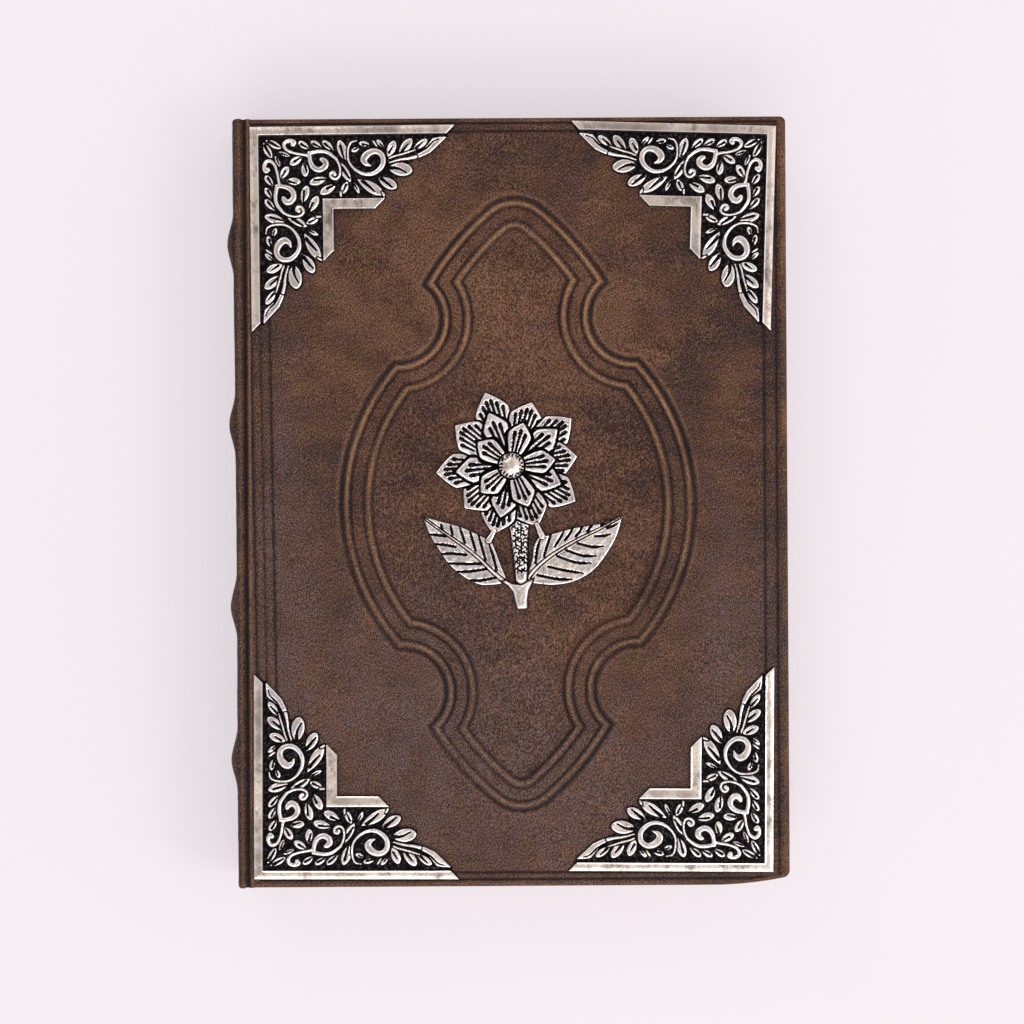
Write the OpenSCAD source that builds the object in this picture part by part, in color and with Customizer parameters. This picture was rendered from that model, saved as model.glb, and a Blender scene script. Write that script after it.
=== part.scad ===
// Antique leather-bound book with sunk medallion, cast corner plates and cast flower.
// It lies closed on its back cover: spine towards -X, head towards +Y, front cover up.

/* [Covers] */
// Width of each cover, from the middle of the hinge groove to the fore-edge
cover_w = 176; // [160:1:200]
// Height of each cover
cover_h = 250; // [235:1:280]
// Thickness of the covering leather
leather_t = 1.2; // [1:0.1:1.5]
// Thickness of the cover boards
board_t = 3; // [2.5:0.1:4]
// Thickness of the paper pasted inside the covers
pastedown_t = 0.25; // [0.2:0.05:0.4]
// Distance of the pasted paper from the edges of the cover
pastedown_inset = 3.5; // [2.5:0.5:5]
// Width of the leather turned in over the boards
turn_in = 14; // [10:1:20]
// Radius of the fore-edge corners
corner_r = 3; // [2:0.5:5]
// Length of the worn stretch at the tail corner of the fore-edge
worn_length = 25; // [15:1:30]
// Radius of the worn stretch
worn_r = 118; // [100:2:150]

/* [Leaves] */
// Thickness of the block of leaves
leaves_t = 27.4; // [22:0.2:36]
// Distance from the edges of the covers to the leaves at head and tail
square_end = 3.5; // [2.5:0.5:5]
// Distance from the fore-edge of the covers to the leaves
square_fore = 4; // [3:0.5:6]
// Depth of the hollow in the fore-edge of the leaves
hollow_depth = 1; // [0.6:0.1:2]
// Reach of the backed shoulders past the hinge line
shoulder_reach = 0.4; // [0.2:0.1:0.6]
// Run of the slope from the shoulders down to the flat of the leaves
shoulder_slope = 1; // [0.6:0.1:1.2]
// Thickness of a loose endpaper
flyleaf_t = 0.3; // [0.2:0.05:0.4]
// Air between the leaves and each cover
cover_gap = 0.3; // [0.25:0.05:0.5]

/* [Spine] */
// How far the spine stands out from the middle of the hinge groove
spine_out = 3.9; // [3.6:0.1:4.6]
// Radius of the long curve of the spine
spine_r = 145; // [120:5:200]
// Radius of the rolls beside the hinge grooves
roll_r = 1.6; // [1.5:0.1:1.8]
// Depth of the roll below the outside face of the cover
roll_drop = 0.9; // [0.8:0.05:1.1]
// Thickness of the leather on the spine
spine_leather_t = 1.2; // [1:0.1:1.3]
// Thickness of the lining under it
lining_t = 0.6; // [0.4:0.1:0.8]
// How far a raised band stands out
band_out = 1.5; // [1:0.1:2]
// Length of a raised band along the spine
band_length = 15; // [12:0.5:18]
// Places of the raised bands, as shares of half the height of the cover
band_places = [0.676, 0.206, -0.268, -0.671]; // [-0.8:0.001:0.8]
// How far the caps stand past the covers at head and tail
cap_out = 0.4; // [0.2:0.1:0.8]
// Thickness of the caps
cap_t = 2; // [1.5:0.1:2.4]
// Height of the headband beads
headband_h = 1.7; // [1.2:0.1:1.8]
// Width of the headband beads
headband_w = 2.2; // [1.8:0.1:2.6]

/* [Hinges] */
// Clearance on each side of the hinge line
hinge_gap = 0.15; // [0.15:0.05:0.25]
// Radius of the leather where it turns down into the groove
groove_r = 1.25; // [1:0.05:1.5]
// Distance from the hinge line to the spine edge of the boards
board_gap = 2; // [1.8:0.1:2.6]

/* [Medallion] */
// Depth of the sunk panel
panel_depth = 1.4; // [1:0.1:2]
// Half width of the medallion at its outermost line
medallion_half_w = 57.4; // [50:0.2:62]
// Radius of its long side arcs
side_arc_r = 69.9; // [66:0.2:80]
// Distance of the hollow arcs from the middle line
hollow_x = 38.2; // [36:0.2:41]
// Distance of the hollow arcs from the middle across
hollow_y = 60.6; // [57:0.2:64]
// Radius of the hollow arcs
hollow_r = 14.1; // [12:0.1:15]
// Half height of the medallion at its outermost line
medallion_half_h = 99.5; // [95:0.5:102]
// Radius of its two rounded tips
tip_r = 14; // [13:0.5:17]
// Radius of the flanks beside the tips
flank_r = 94; // [88:1:110]
// Distance from the middle across to the centres of the flanks
flank_y = 24.3; // [22:0.1:26]
// Distances of the tooled lines inside the outermost line
medallion_lines = [0, 2.9, 7.2]; // [0:0.1:8]
// Distance of the edge of the sunk panel inside the outermost line
panel_inset = 10; // [9.6:0.1:11]
// Place of the medallion from the middle of the cover
medallion_place = [0.3, -0.7]; // [-1:0.1:1]
// Turn of the medallion on the cover
medallion_turn = 0.4; // [-1:0.1:1]
// Width of a tooled line
line_w = 1; // [0.6:0.1:1.4]
// Depth of a tooled line
line_depth = 0.5; // [0.3:0.05:0.6]
// Distances of the outer border line from hinge line, fore-edge, head and tail
outer_line_insets = [2.8, 3.5, 1.6, 2.2]; // [1.6:0.1:4]
// Distances of the inner border line from hinge line, fore-edge, head and tail
inner_line_insets = [8.8, 7.5, 4.4, 4.6]; // [4.2:0.1:9.4]
// Distance of the single line beside the hinge
hinge_line = 6.2; // [5:0.1:7]

/* [Corner plates] */
// Length of each arm of a corner plate
arm_length = 67.3; // [62:0.1:70]
// Thickness of the ground of the plate
plate_ground_t = 0.8; // [0.6:0.1:1]
// Height of the frame of the plate
plate_frame_h = 1.6; // [1.3:0.1:1.7]
// Height of the cast relief
plate_relief_h = 1.5; // [1.2:0.1:1.6]
// Width of the outer frame band
frame_band_w = 3.2; // [2.5:0.1:4]
// Distance of the inner band from the outer edges
inner_band_at = 23.5; // [22:0.1:25]
// Width of the inner band
inner_band_w = 3.4; // [2.6:0.1:4]
// Length of the inner band
inner_band_length = 20; // [18:0.1:22]
// Insets of the plate by head and spine from the hinge line and the end of the cover
head_spine_insets = [1.7, 2.6]; // [1.7:0.1:6]
// Turn of the plate by head and spine
head_spine_turn = 0.3; // [-0.5:0.1:1]
// Insets of the plate by head and fore-edge from the edges of the cover
head_fore_insets = [3.1, 3.3]; // [2.6:0.1:6]
// Turn of the plate by head and fore-edge
head_fore_turn = -1.8; // [-2:0.1:2]
// Insets of the plate by tail and spine from the hinge line and the end of the cover
tail_spine_insets = [1.7, 2.8]; // [1.7:0.1:6]
// Turn of the plate by tail and spine
tail_spine_turn = -0.3; // [-1:0.1:0.5]
// Insets of the plate by tail and fore-edge from the edges of the cover
tail_fore_insets = [5.4, 4.2]; // [3.6:0.1:6]
// Turn of the plate by tail and fore-edge
tail_fore_turn = -0.6; // [-2:0.1:2]

/* [Flower] */
// Distance of the middle of the flower from the middle of the cover, towards the fore-edge
flower_x = -1.8; // [-4:0.1:4]
// Distance of the middle of the flower from the middle of the cover, towards the head
flower_y = 12.35; // [9:0.05:15]
// Number of petals in each of the two rows
petal_count = 10; // [8:1:12]
// Direction of the first petal, clockwise from the head
petal_turn = -21.2; // [-36:0.2:36]
// Reach of the long and the short outer petals
outer_petal_reach = [24.1, 21.4]; // [19:0.1:26]
// Radius of the tip of an outer petal
outer_tip_r = 4.6; // [4:0.1:5.5]
// Thickness of the outer petals
outer_petal_t = 1.5; // [1.2:0.1:2]
// Reach of the long and the short inner petals
inner_petal_reach = [17.9, 14]; // [13:0.1:19]
// Width of an inner petal
inner_petal_w = 7.6; // [6:0.2:9]
// Width of a line engraved in a petal
petal_line_w = 0.5; // [0.3:0.05:0.6]
// Depth of a line engraved in a petal
petal_line_depth = 0.4; // [0.2:0.05:0.5]
// Height of the inner petals
inner_petal_h = 2.6; // [2.2:0.1:3.2]
// Radius of the ring round the dome
dome_ring_r = 4.4; // [4:0.1:5]
// Radius of the dome
dome_r = 3.2; // [2.8:0.1:3.6]
// Height of the dome
dome_h = 4.8; // [4:0.1:5.4]
// Number of beads in the ring
bead_count = 18; // [12:1:24]
// Radius of a bead
bead_r = 0.55; // [0.4:0.05:0.65]
// Thickness of the leaves and the stem
leaf_t = 1.6; // [1.2:0.1:2]
// Height of the ribs on the leaves
rib_h = 2.3; // [2:0.1:2.6]

/* [Hidden] */
$fn = 180;
eps = 0.01;
far = 500;

band_y = [for (share = band_places) share * cover_h / 2];

// Levels, from the outside face of the back cover upwards
back_board_z = leather_t;
back_inside_z = back_board_z + board_t + pastedown_t;
back_flyleaf_z = back_inside_z + cover_gap;
leaves_z = back_flyleaf_z + flyleaf_t;
leaves_top_z = leaves_z + leaves_t;
front_inside_z = leaves_top_z + flyleaf_t + cover_gap;
front_board_z = front_inside_z + pastedown_t;
card_z = front_board_z + board_t;
face_z = card_z + panel_depth + leather_t;
panel_z = face_z - panel_depth;
middle_z = face_z / 2;

// Places across, with zero in the middle of the whole width
hinge_x = -(cover_w - spine_out - band_out) / 2;
fore_x = hinge_x + cover_w;
cover_mid_x = hinge_x + cover_w / 2;
board_x = hinge_x + board_gap;
leaves_fore_x = fore_x - square_fore;
leaves_h = cover_h - 2 * square_end;
spine_h = cover_h + 2 * cap_out;
turn_in_t = leather_t / 2;

// The plates are drawn for an arm of 67.3 and the flower for a long petal of 24.1
plate_unit = arm_length / 67.3;
flower_unit = outer_petal_reach[0] / 24.1;

// The cast relief starts inside the ground of a plate
relief_t = plate_relief_h - plate_ground_t / 2;

// Section of the spine: long arc with a roll at each end, seen along +Y
roll_z = middle_z - roll_drop - roll_r;
spine_cx = -spine_out + spine_r;
roll_x = spine_cx - sqrt(pow(spine_r - roll_r, 2) - pow(roll_z, 2));

// Depth of the leather at the hinge line, on the roll or on the flat between the rolls
roll_rise = sqrt(max(0, pow(roll_r, 2) - pow(roll_x + hinge_gap, 2)));
hinge_drop = roll_drop + roll_r - roll_rise;

// Flank circle of the medallion: through a given height, touching the tip circle inside
tip_cy = medallion_half_h - tip_r;
flank_rise = tip_cy - flank_y;
flank_x = sqrt(pow(flank_r - tip_r, 2) - pow(flank_rise, 2));

function arc(centre, r, from, to, steps) =
    [for (i = [0:steps]) let (a = from + (to - from) * i / steps) centre + r * [cos(a), sin(a)]];

// Outline of a cover inset from its edges, from side_x to the fore-edge
function cover_outline(side_x, inset) =
    let (
        right = fore_x - inset,
        foot = -cover_h / 2 + inset,
        top = cover_h / 2 - inset,
        r = corner_r - min(inset, corner_r - 0.5),
        worn_angle = asin(worn_length / worn_r),
        worn_drop = worn_r * (1 - cos(worn_angle))
    )
    concat(
        [[side_x, top], [side_x, foot]],
        arc([fore_x - worn_length, foot + worn_r - inset], worn_r - inset, -90, -90 + 0.9 * worn_angle, 6),
        arc([right - r, foot + worn_drop + r], r, -60, 0, 4),
        arc([right - r, top - r], r, 0, 90, 6)
    );

module slab(side_x, inset, z, t) {
    translate([0, 0, z]) linear_extrude(t) polygon(cover_outline(side_x, inset));
}

module across(y, length) {
    translate([hinge_x, y + length, middle_z]) rotate([90, 0, 0]) linear_extrude(length) children();
}

// Section of the spine grown by a distance, with its right side cut at the hinge line
module spine_section(grow) {
    difference() {
        union() {
            intersection() {
                translate([spine_cx, 0]) circle(spine_r + grow);
                translate([-10, -roll_z]) square([10 + roll_x, 2 * roll_z]);
            }
            for (side = [-1, 1]) translate([roll_x, side * roll_z]) circle(roll_r + grow);
            translate([roll_x - eps, -roll_z]) square([board_gap - roll_x, 2 * roll_z]);
        }
        translate([-hinge_gap, -far / 2]) square(far);
    }
}

// Ring with a round section whose crest stands out from the long curve of the spine
module swelling_ring(y, grow) {
    half = band_length / 2;
    swell_r = (half * half + band_out * band_out) / (2 * band_out);
    translate([hinge_x + spine_cx, y, middle_z]) rotate([90, 0, 0])
        rotate_extrude(angle = 30, start = 165)
            translate([spine_r + band_out - swell_r, 0]) circle(swell_r + grow);
}

// Leather swollen over a raised band, fading into the rolls
module band_swelling(y) {
    fade_z = roll_z + roll_r - 0.15;
    intersection() {
        swelling_ring(y, 0);
        across(y - band_length, 2 * band_length) intersection() {
            spine_section(band_out + 0.3);
            translate([-far, -fade_z]) square([far, 2 * fade_z]);
        }
    }
}

module band_core(y) {
    difference() {
        intersection() {
            swelling_ring(y, -spine_leather_t);
            translate([hinge_x - far, y - band_length, middle_z - roll_z])
                cube([far, 2 * band_length, 2 * roll_z]);
        }
        across(-leaves_h / 2, leaves_h) translate([spine_cx, 0]) circle(spine_r - spine_leather_t);
    }
}

module raised_band(y) {
    color([0.42, 0.28, 0.18]) band_core(y);
}

module spine_leather() {
    inner_h = spine_h - 2 * cap_t;
    color([0.27, 0.16, 0.09]) difference() {
        union() {
            across(-spine_h / 2, spine_h) spine_section(0);
            for (y = band_y) band_swelling(y);
        }
        across(-inner_h / 2, inner_h) spine_section(-spine_leather_t);
        for (y = band_y) band_core(y);
        translate([hinge_x - 2 * hinge_gap, -inner_h / 2, middle_z - roll_z])
            cube([board_gap, inner_h, 2 * roll_z]);
    }
}

module spine_lining() {
    lined_r = spine_r - spine_leather_t;
    color([0.78, 0.72, 0.6]) across(-leaves_h / 2, leaves_h) difference() {
        intersection() {
            translate([spine_cx, 0]) circle(lined_r);
            translate([-10, -roll_z]) square([10 + roll_x + lining_t, 2 * roll_z]);
        }
        translate([spine_cx, 0]) circle(lined_r - lining_t);
    }
}

// Leaves with backed shoulders beside the hinges and a hollow in the fore-edge
module text_block() {
    back_r = spine_r - spine_leather_t - lining_t;
    low = leaves_z - middle_z;
    high = leaves_top_z - middle_z;
    edge = shoulder_reach;
    color([0.86, 0.79, 0.64]) across(-leaves_h / 2, leaves_h) difference() {
        union() {
            intersection() {
                translate([spine_cx, 0]) circle(back_r);
                polygon([
                    [-10, -roll_z], [-edge, -roll_z], [edge, edge - roll_z], [edge + shoulder_slope, low],
                    [edge + shoulder_slope, high], [edge, roll_z - edge], [-edge, roll_z], [-10, roll_z]
                ]);
            }
            translate([edge, low]) square([leaves_fore_x - hinge_x - edge, high - low]);
        }
        translate([leaves_fore_x - hinge_x + spine_r - hollow_depth, 0]) circle(spine_r);
    }
}

module flyleaf(z) {
    from_x = hinge_x + shoulder_reach + shoulder_slope;
    color([0.8, 0.72, 0.56]) translate([from_x, -leaves_h / 2, z])
        cube([leaves_fore_x - hollow_depth / 2 - from_x, leaves_h, flyleaf_t]);
}

module front_flyleaf() { flyleaf(leaves_top_z); }
module back_flyleaf() { flyleaf(back_flyleaf_z); }

// Bead with a flat seat, across the end of the leaves
module bead_roll(side) {
    back_x = hinge_x - spine_out + spine_leather_t + lining_t;
    bead_x = back_x + shoulder_reach + headband_w / 2;
    color([0.62, 0.2, 0.14]) translate([bead_x, side * leaves_h / 2, leaves_z])
        linear_extrude(leaves_t) intersection() {
            translate([0, side * (headband_h - headband_w / 2)]) circle(headband_w / 2);
            translate([-headband_w, side > 0 ? 0 : -headband_h]) square([2 * headband_w, headband_h]);
        }
}

module headband() { bead_roll(1); }
module tailband() { bead_roll(-1); }

// Board with a step on its inside where the leather is turned in
module board(z, step_z) {
    difference() {
        slab(board_x, leather_t, z, board_t);
        difference() {
            slab(board_x - 1, leather_t / 2, step_z, turn_in_t);
            slab(board_x - 2, turn_in, step_z - 1, turn_in_t + 2);
        }
    }
}

module front_board() { color([0.6, 0.52, 0.4]) board(front_board_z, front_board_z); }
module back_board() { color([0.6, 0.52, 0.4]) board(back_board_z, back_board_z + board_t - turn_in_t); }

// Outline of the medallion, moved inwards by a distance
module medallion(inset) {
    side_x = side_arc_r - medallion_half_w;
    tangent_y = flank_y + (flank_r - inset) * flank_rise / (flank_r - tip_r);
    difference() {
        union() {
            intersection() {
                translate([side_x, 0]) circle(side_arc_r - inset);
                translate([-side_x, 0]) circle(side_arc_r - inset);
            }
            for (end = [0, 1]) mirror([0, end]) {
                intersection() {
                    translate([flank_x, flank_y]) circle(flank_r - inset);
                    translate([-flank_x, flank_y]) circle(flank_r - inset);
                    translate([-medallion_half_w, 0]) square([2 * medallion_half_w, tangent_y]);
                }
                translate([0, tip_cy]) circle(tip_r - inset);
            }
        }
        for (x = [-1, 1], y = [-1, 1]) translate([x * hollow_x, y * hollow_y]) circle(hollow_r + inset);
    }
}

module medallion_prism(inset, z, t) {
    translate([cover_mid_x + medallion_place[0], medallion_place[1], z])
        rotate(medallion_turn) linear_extrude(t) medallion(inset);
}

module frame_card() {
    color([0.55, 0.47, 0.36]) difference() {
        slab(board_x, leather_t, card_z, panel_depth);
        medallion_prism(panel_inset - leather_t, card_z - 1, panel_depth + 2);
    }
}

// Tooled rectangles and the single line beside the hinge, on the face at z
module border_tooling(z) {
    for (insets = [outer_line_insets, inner_line_insets])
        translate([0, 0, z]) linear_extrude(2 * line_depth) difference() {
            border_frame(insets, line_w / 2);
            border_frame(insets, -line_w / 2);
        }
    translate([hinge_x + hinge_line - line_w / 2, -far / 2, z]) cube([line_w, far, 2 * line_depth]);
}

module border_frame(insets, grow) {
    width = cover_w - insets[0] - insets[1] + 2 * grow;
    height = cover_h - insets[2] - insets[3] + 2 * grow;
    translate([hinge_x + insets[0] - grow, -cover_h / 2 + insets[3] - grow]) square([width, height]);
}

// Round turn of the leather down into the groove, for the face at the top
module groove_turn(top_z) {
    translate([hinge_x + hinge_gap + groove_r, far / 2, top_z - groove_r]) rotate([90, 0, 0])
        linear_extrude(far) difference() {
            translate([-2 * groove_r, 0]) square([2 * groove_r, 2 * groove_r]);
            circle(groove_r);
        }
}

module front_leather() {
    color([0.3, 0.18, 0.1]) difference() {
        slab(hinge_x + hinge_gap, 0, front_board_z, face_z - front_board_z);
        difference() {
            slab(board_x, leather_t, front_board_z + turn_in_t, board_t - turn_in_t + panel_depth);
            medallion_prism(panel_inset - leather_t, card_z, 2 * panel_depth);
        }
        slab(board_x, turn_in, front_board_z - 1, board_t);
        translate([hinge_x - 1, -far / 2, front_board_z - 1])
            cube([board_gap + 1, far, face_z - hinge_drop - leather_t - front_board_z + 1]);
        groove_turn(face_z);
        medallion_prism(panel_inset, panel_z, far);
        for (line = medallion_lines) difference() {
            medallion_prism(line - line_w / 2, face_z - line_depth, 2 * line_depth);
            medallion_prism(line + line_w / 2, face_z - 2 * line_depth, 4 * line_depth);
        }
        border_tooling(face_z - line_depth);
    }
}

module back_leather() {
    color([0.3, 0.18, 0.1]) difference() {
        slab(hinge_x + hinge_gap, 0, 0, back_board_z + board_t);
        slab(board_x, leather_t, back_board_z, board_t - turn_in_t);
        slab(board_x, turn_in, back_board_z, board_t + 1);
        translate([hinge_x - 1, -far / 2, hinge_drop + leather_t]) cube([board_gap + 1, far, far]);
        mirror([0, 0, 1]) groove_turn(0);
        border_tooling(-line_depth);
    }
}

module pastedown(z) {
    color([0.8, 0.72, 0.56]) slab(board_x, pastedown_inset, z, pastedown_t);
}

module front_pastedown() { pastedown(front_inside_z); }
module back_pastedown() { pastedown(back_inside_z - pastedown_t); }

// Puts a piece of relief at a place of the drawing, on the ground of a plate
module on_ground(place) {
    translate([plate_unit * place[0], plate_unit * place[1], plate_ground_t / 2]) children();
}

// Flat bar bent along an arc
module arc_bar(centre, r, from, to, w) {
    on_ground(centre) rotate(from) rotate_extrude(angle = to - from)
        translate([plate_unit * (r - w / 2), 0]) square([plate_unit * w, relief_t]);
}

// Scroll of two half rings, the second one smaller, with knots at their ends and a round eye
module scroll(centre, r, turn, w) {
    step = w * 1.55;
    short = 5;
    heading = [cos(turn), sin(turn)];
    arc_bar(centre, r, turn + short, turn + 180 - short, w);
    arc_bar(centre + step / 2 * heading, r - step / 2, turn + 180 + short, turn + 360 - short, w);
    for (knot = [r, -r]) relief_disc(centre + knot * heading, 0.62 * w);
    relief_disc(centre, max(r - 1.6 * step, 0.7));
}

module relief_disc(centre, r) {
    on_ground(centre) cylinder(r = plate_unit * r, h = relief_t);
}

// Pointed leaf, from a point along a direction
module leaf(start, turn, length, width) {
    long = plate_unit * length;
    wide = plate_unit * width;
    bow_r = (long * long + wide * wide) / (4 * wide);
    on_ground(start) rotate(turn) linear_extrude(relief_t) intersection() {
        translate([long / 2, bow_r - wide / 2]) circle(bow_r);
        translate([long / 2, wide / 2 - bow_r]) circle(bow_r);
    }
}

// One arm of the relief, running along +X, with the frame of the plate at Y = 0
module arm_relief() {
    row_v = frame_band_w / plate_unit + 0.6;
    scroll([12.7, 7.2], 2.2, 40, 1);
    scroll([21.8, 12.4], 3.6, 60, 1.2);
    scroll([28.4, 16.6], 2.2, 200, 1);
    scroll([39, 11.8], 5, 150, 1.4);
    arc_bar([22, 20.5], 12.5, -82, -20, 1.1);
    arc_bar([39.5, 9], 8.4, 92, 176, 1.2);
    arc_bar([16.4, 2.6], 7.2, 50, 116, 1);
    for (i = [0:9]) leaf([16.5 + 4.1 * i, row_v], 52 - 2 * i, 3.6, 2);
    for (place = [[15, 13.2, 40], [18.6, 17, 35], [23.4, 18.4, 10], [29, 20.6, -8], [34.4, 19.2, -12]])
        leaf([place[0], place[1]], place[2], 4.6, 2.6);
    leaf([43.4, 15.6], 50, 4.4, 2.6);
    leaf([45.6, 14.2], 5, 6, 3);
    leaf([46, 9.4], -14, 16.5, 3.4);
}

// Outline of the arm below the frame band: long leaf, two lobes and the cut end of the inner band
function arm_outline() =
    let (inner_end = inner_band_at + inner_band_length, inside = inner_band_at + inner_band_w)
    [
        [0, 0], [arm_length, 0], [arm_length - frame_band_w, frame_band_w],
        each plate_unit * [
            [63.3, 5.9], [58.5, 8.1], [52, 10.7], [52.3, 14.3], [48.1, 15.9], [47.5, 18.9], [43.9, 19.8]
        ],
        [inner_end, inner_band_at], [inner_end - inner_band_w, inside], [inside, inside]
    ];

module corner_plate() {
    frame_end = arm_length - frame_band_w;
    inner_end = inner_band_at + inner_band_length;
    inside = inner_band_at + inner_band_w;
    for (arm = [0, 1]) mirror([arm, -arm, 0]) {
        linear_extrude(plate_ground_t) polygon(arm_outline());
        linear_extrude(plate_frame_h)
            polygon([[0, 0], [arm_length, 0], [frame_end, frame_band_w], [frame_band_w, frame_band_w]]);
        linear_extrude(plate_frame_h) polygon([
            [inner_band_at, inner_band_at], [inner_end, inner_band_at],
            [inner_end - inner_band_w, inside], [inside, inside]
        ]);
        arm_relief();
    }
}

// A plate at one corner of the front cover
module placed_plate(to_fore, to_head, insets, turn) {
    x = to_fore ? fore_x - insets[0] : hinge_x + insets[0];
    y = (to_head ? 1 : -1) * (cover_h / 2 - insets[1]);
    color([0.66, 0.66, 0.64]) translate([x, y, face_z]) rotate(turn)
        mirror([to_fore ? 1 : 0, 0, 0]) mirror([0, to_head ? 1 : 0, 0]) corner_plate();
}

module corner_head_spine() { placed_plate(false, true, head_spine_insets, head_spine_turn); }
module corner_head_fore() { placed_plate(true, true, head_fore_insets, head_fore_turn); }
module corner_tail_spine() { placed_plate(false, false, tail_spine_insets, tail_spine_turn); }
module corner_tail_fore() { placed_plate(true, false, tail_fore_insets, tail_fore_turn); }

module outer_petal(reach) {
    shoulder = reach - outer_tip_r;
    difference() {
        linear_extrude(outer_petal_t) {
            translate([0, shoulder]) circle(outer_tip_r);
            polygon([
                [-0.2 * outer_tip_r, 0], [0.2 * outer_tip_r, 0],
                [0.98 * outer_tip_r, shoulder], [-0.98 * outer_tip_r, shoulder]
            ]);
        }
        for (side = [-1, 0, 1]) translate([0, 0, outer_petal_t - petal_line_depth]) rotate(-9 * side)
            translate([-petal_line_w / 2, reach * 0.55, 0]) cube([petal_line_w, reach * 0.33, outer_petal_t]);
    }
}

module inner_petal(reach) {
    bow_r = (reach * reach + inner_petal_w * inner_petal_w) / (4 * inner_petal_w);
    difference() {
        linear_extrude(inner_petal_h) intersection() {
            translate([bow_r - inner_petal_w / 2, reach / 2]) circle(bow_r);
            translate([inner_petal_w / 2 - bow_r, reach / 2]) circle(bow_r);
        }
        for (side = [-1, 1]) translate([0, 0, inner_petal_h - petal_line_depth]) rotate(-6 * side)
            translate([-petal_line_w / 2, reach * 0.4, 0]) cube([petal_line_w, reach * 0.42, inner_petal_h]);
    }
}

module leaf_blade(middle, r, edge, h) {
    linear_extrude(h) intersection() {
        translate(flower_unit * middle) circle(flower_unit * r);
        polygon(flower_unit * edge);
    }
}

// Straight rib from a place of the drawing along a direction
module leaf_rib(start, turn, length, width, h) {
    translate([flower_unit * start[0], flower_unit * start[1], 0]) rotate(turn)
        translate([0, -flower_unit * width / 2, 0]) cube([flower_unit * length, flower_unit * width, h]);
}

// Leaf of the flower: a round lower edge closed by a straight upper edge, with ribs
module flower_leaf(middle, r, edge, rib_start, rib_end) {
    rib = rib_end - rib_start;
    rib_turn = atan2(rib[1], rib[0]);
    leaf_blade(middle, r, edge, leaf_t);
    intersection() {
        leaf_blade(middle, r, edge, rib_h);
        union() {
            leaf_rib(rib_start, rib_turn, norm(rib), 1, rib_h);
            for (i = [1:6], hand = [-1, 1])
                leaf_rib(rib_start + rib * i / 7, rib_turn + hand * 48, 16, 0.6, (leaf_t + 2 * rib_h) / 3);
        }
    }
}

module flower_ornament() {
    color([0.68, 0.68, 0.66]) translate([cover_mid_x + flower_x, flower_y, panel_z]) {
        for (i = [0:petal_count - 1]) rotate(-petal_turn - i * 360 / petal_count) {
            outer_petal(outer_petal_reach[i % 2]);
            inner_petal(inner_petal_reach[i % 2]);
        }
        cylinder(r = dome_ring_r + 1.2 * bead_r, h = inner_petal_h + bead_r);
        for (i = [0:bead_count - 1]) rotate(i * 360 / bead_count)
            translate([dome_ring_r, 0, inner_petal_h + bead_r]) sphere(bead_r, $fn = 24);
        intersection() {
            translate([0, 0, dome_h - dome_r]) sphere(dome_r);
            cylinder(r = 2 * dome_r, h = dome_h);
        }
        flower_leaf(
            [-7.8, -17], 21.8,
            [
                [-30.5, -15.6], [-23.2, -17.9], [-10.2, -22.6], [-7, -20.5],
                [-5.6, -27], [-1, -36], [-1, -40], [-40, -40]
            ],
            [-4, -34], [-28, -17.5]
        );
        flower_leaf(
            [14, -16.8], 22.4,
            [
                [37, -15.8], [24.9, -19.5], [10.9, -22.8], [8.6, -20.5],
                [7.4, -26], [4, -36], [4, -41], [42, -41]
            ],
            [7, -35], [34.5, -17.5]
        );
        linear_extrude(leaf_t) polygon(flower_unit * [
            [-0.8, -18], [5.7, -18], [5.4, -24], [4.8, -32], [4.9, -41], [4.4, -46.6], [3.4, -47.2],
            [1.4, -47.2], [0.6, -46], [-0.6, -38], [0.2, -30], [-0.6, -24]
        ]);
    }
}

text_block();
front_flyleaf();
back_flyleaf();
spine_lining();
raised_band(band_y[0]);  // raised_band_1
raised_band(band_y[1]);  // raised_band_2
raised_band(band_y[2]);  // raised_band_3
raised_band(band_y[3]);  // raised_band_4
headband();
tailband();
spine_leather();
front_board();
frame_card();
front_leather();
front_pastedown();
corner_head_spine();
corner_head_fore();
corner_tail_spine();
corner_tail_fore();
flower_ornament();
back_board();
back_leather();
back_pastedown();
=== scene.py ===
"""Antique leather book with a sunk medallion, cast corner plates and a cast flower.

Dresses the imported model: tooled leather over the covers and the spine, cast relief,
cut leaves, headbands and papers, with soft studio light and the camera above.
Lengths are in millimetres until a mesh is made.
"""

import logging
import math
from dataclasses import dataclass, field
from enum import Enum
from typing import Callable

import bmesh
import bpy
import numpy as np
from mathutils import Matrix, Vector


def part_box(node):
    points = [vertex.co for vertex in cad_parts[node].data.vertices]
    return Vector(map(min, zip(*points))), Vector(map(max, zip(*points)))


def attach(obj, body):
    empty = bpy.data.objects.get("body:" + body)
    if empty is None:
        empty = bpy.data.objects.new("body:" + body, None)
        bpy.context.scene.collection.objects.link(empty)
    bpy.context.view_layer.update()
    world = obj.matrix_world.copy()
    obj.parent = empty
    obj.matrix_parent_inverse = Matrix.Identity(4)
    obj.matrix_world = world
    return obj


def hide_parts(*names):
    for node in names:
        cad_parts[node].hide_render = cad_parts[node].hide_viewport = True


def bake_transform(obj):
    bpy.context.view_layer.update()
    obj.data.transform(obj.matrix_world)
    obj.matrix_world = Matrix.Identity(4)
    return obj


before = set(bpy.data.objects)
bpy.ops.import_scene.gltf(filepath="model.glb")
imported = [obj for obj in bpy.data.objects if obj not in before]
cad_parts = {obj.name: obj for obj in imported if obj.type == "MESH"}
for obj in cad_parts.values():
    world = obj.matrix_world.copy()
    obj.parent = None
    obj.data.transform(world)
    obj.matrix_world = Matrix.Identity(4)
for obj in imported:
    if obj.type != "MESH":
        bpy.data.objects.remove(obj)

Array = np.ndarray
Colour = tuple[float, float, float]
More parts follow.
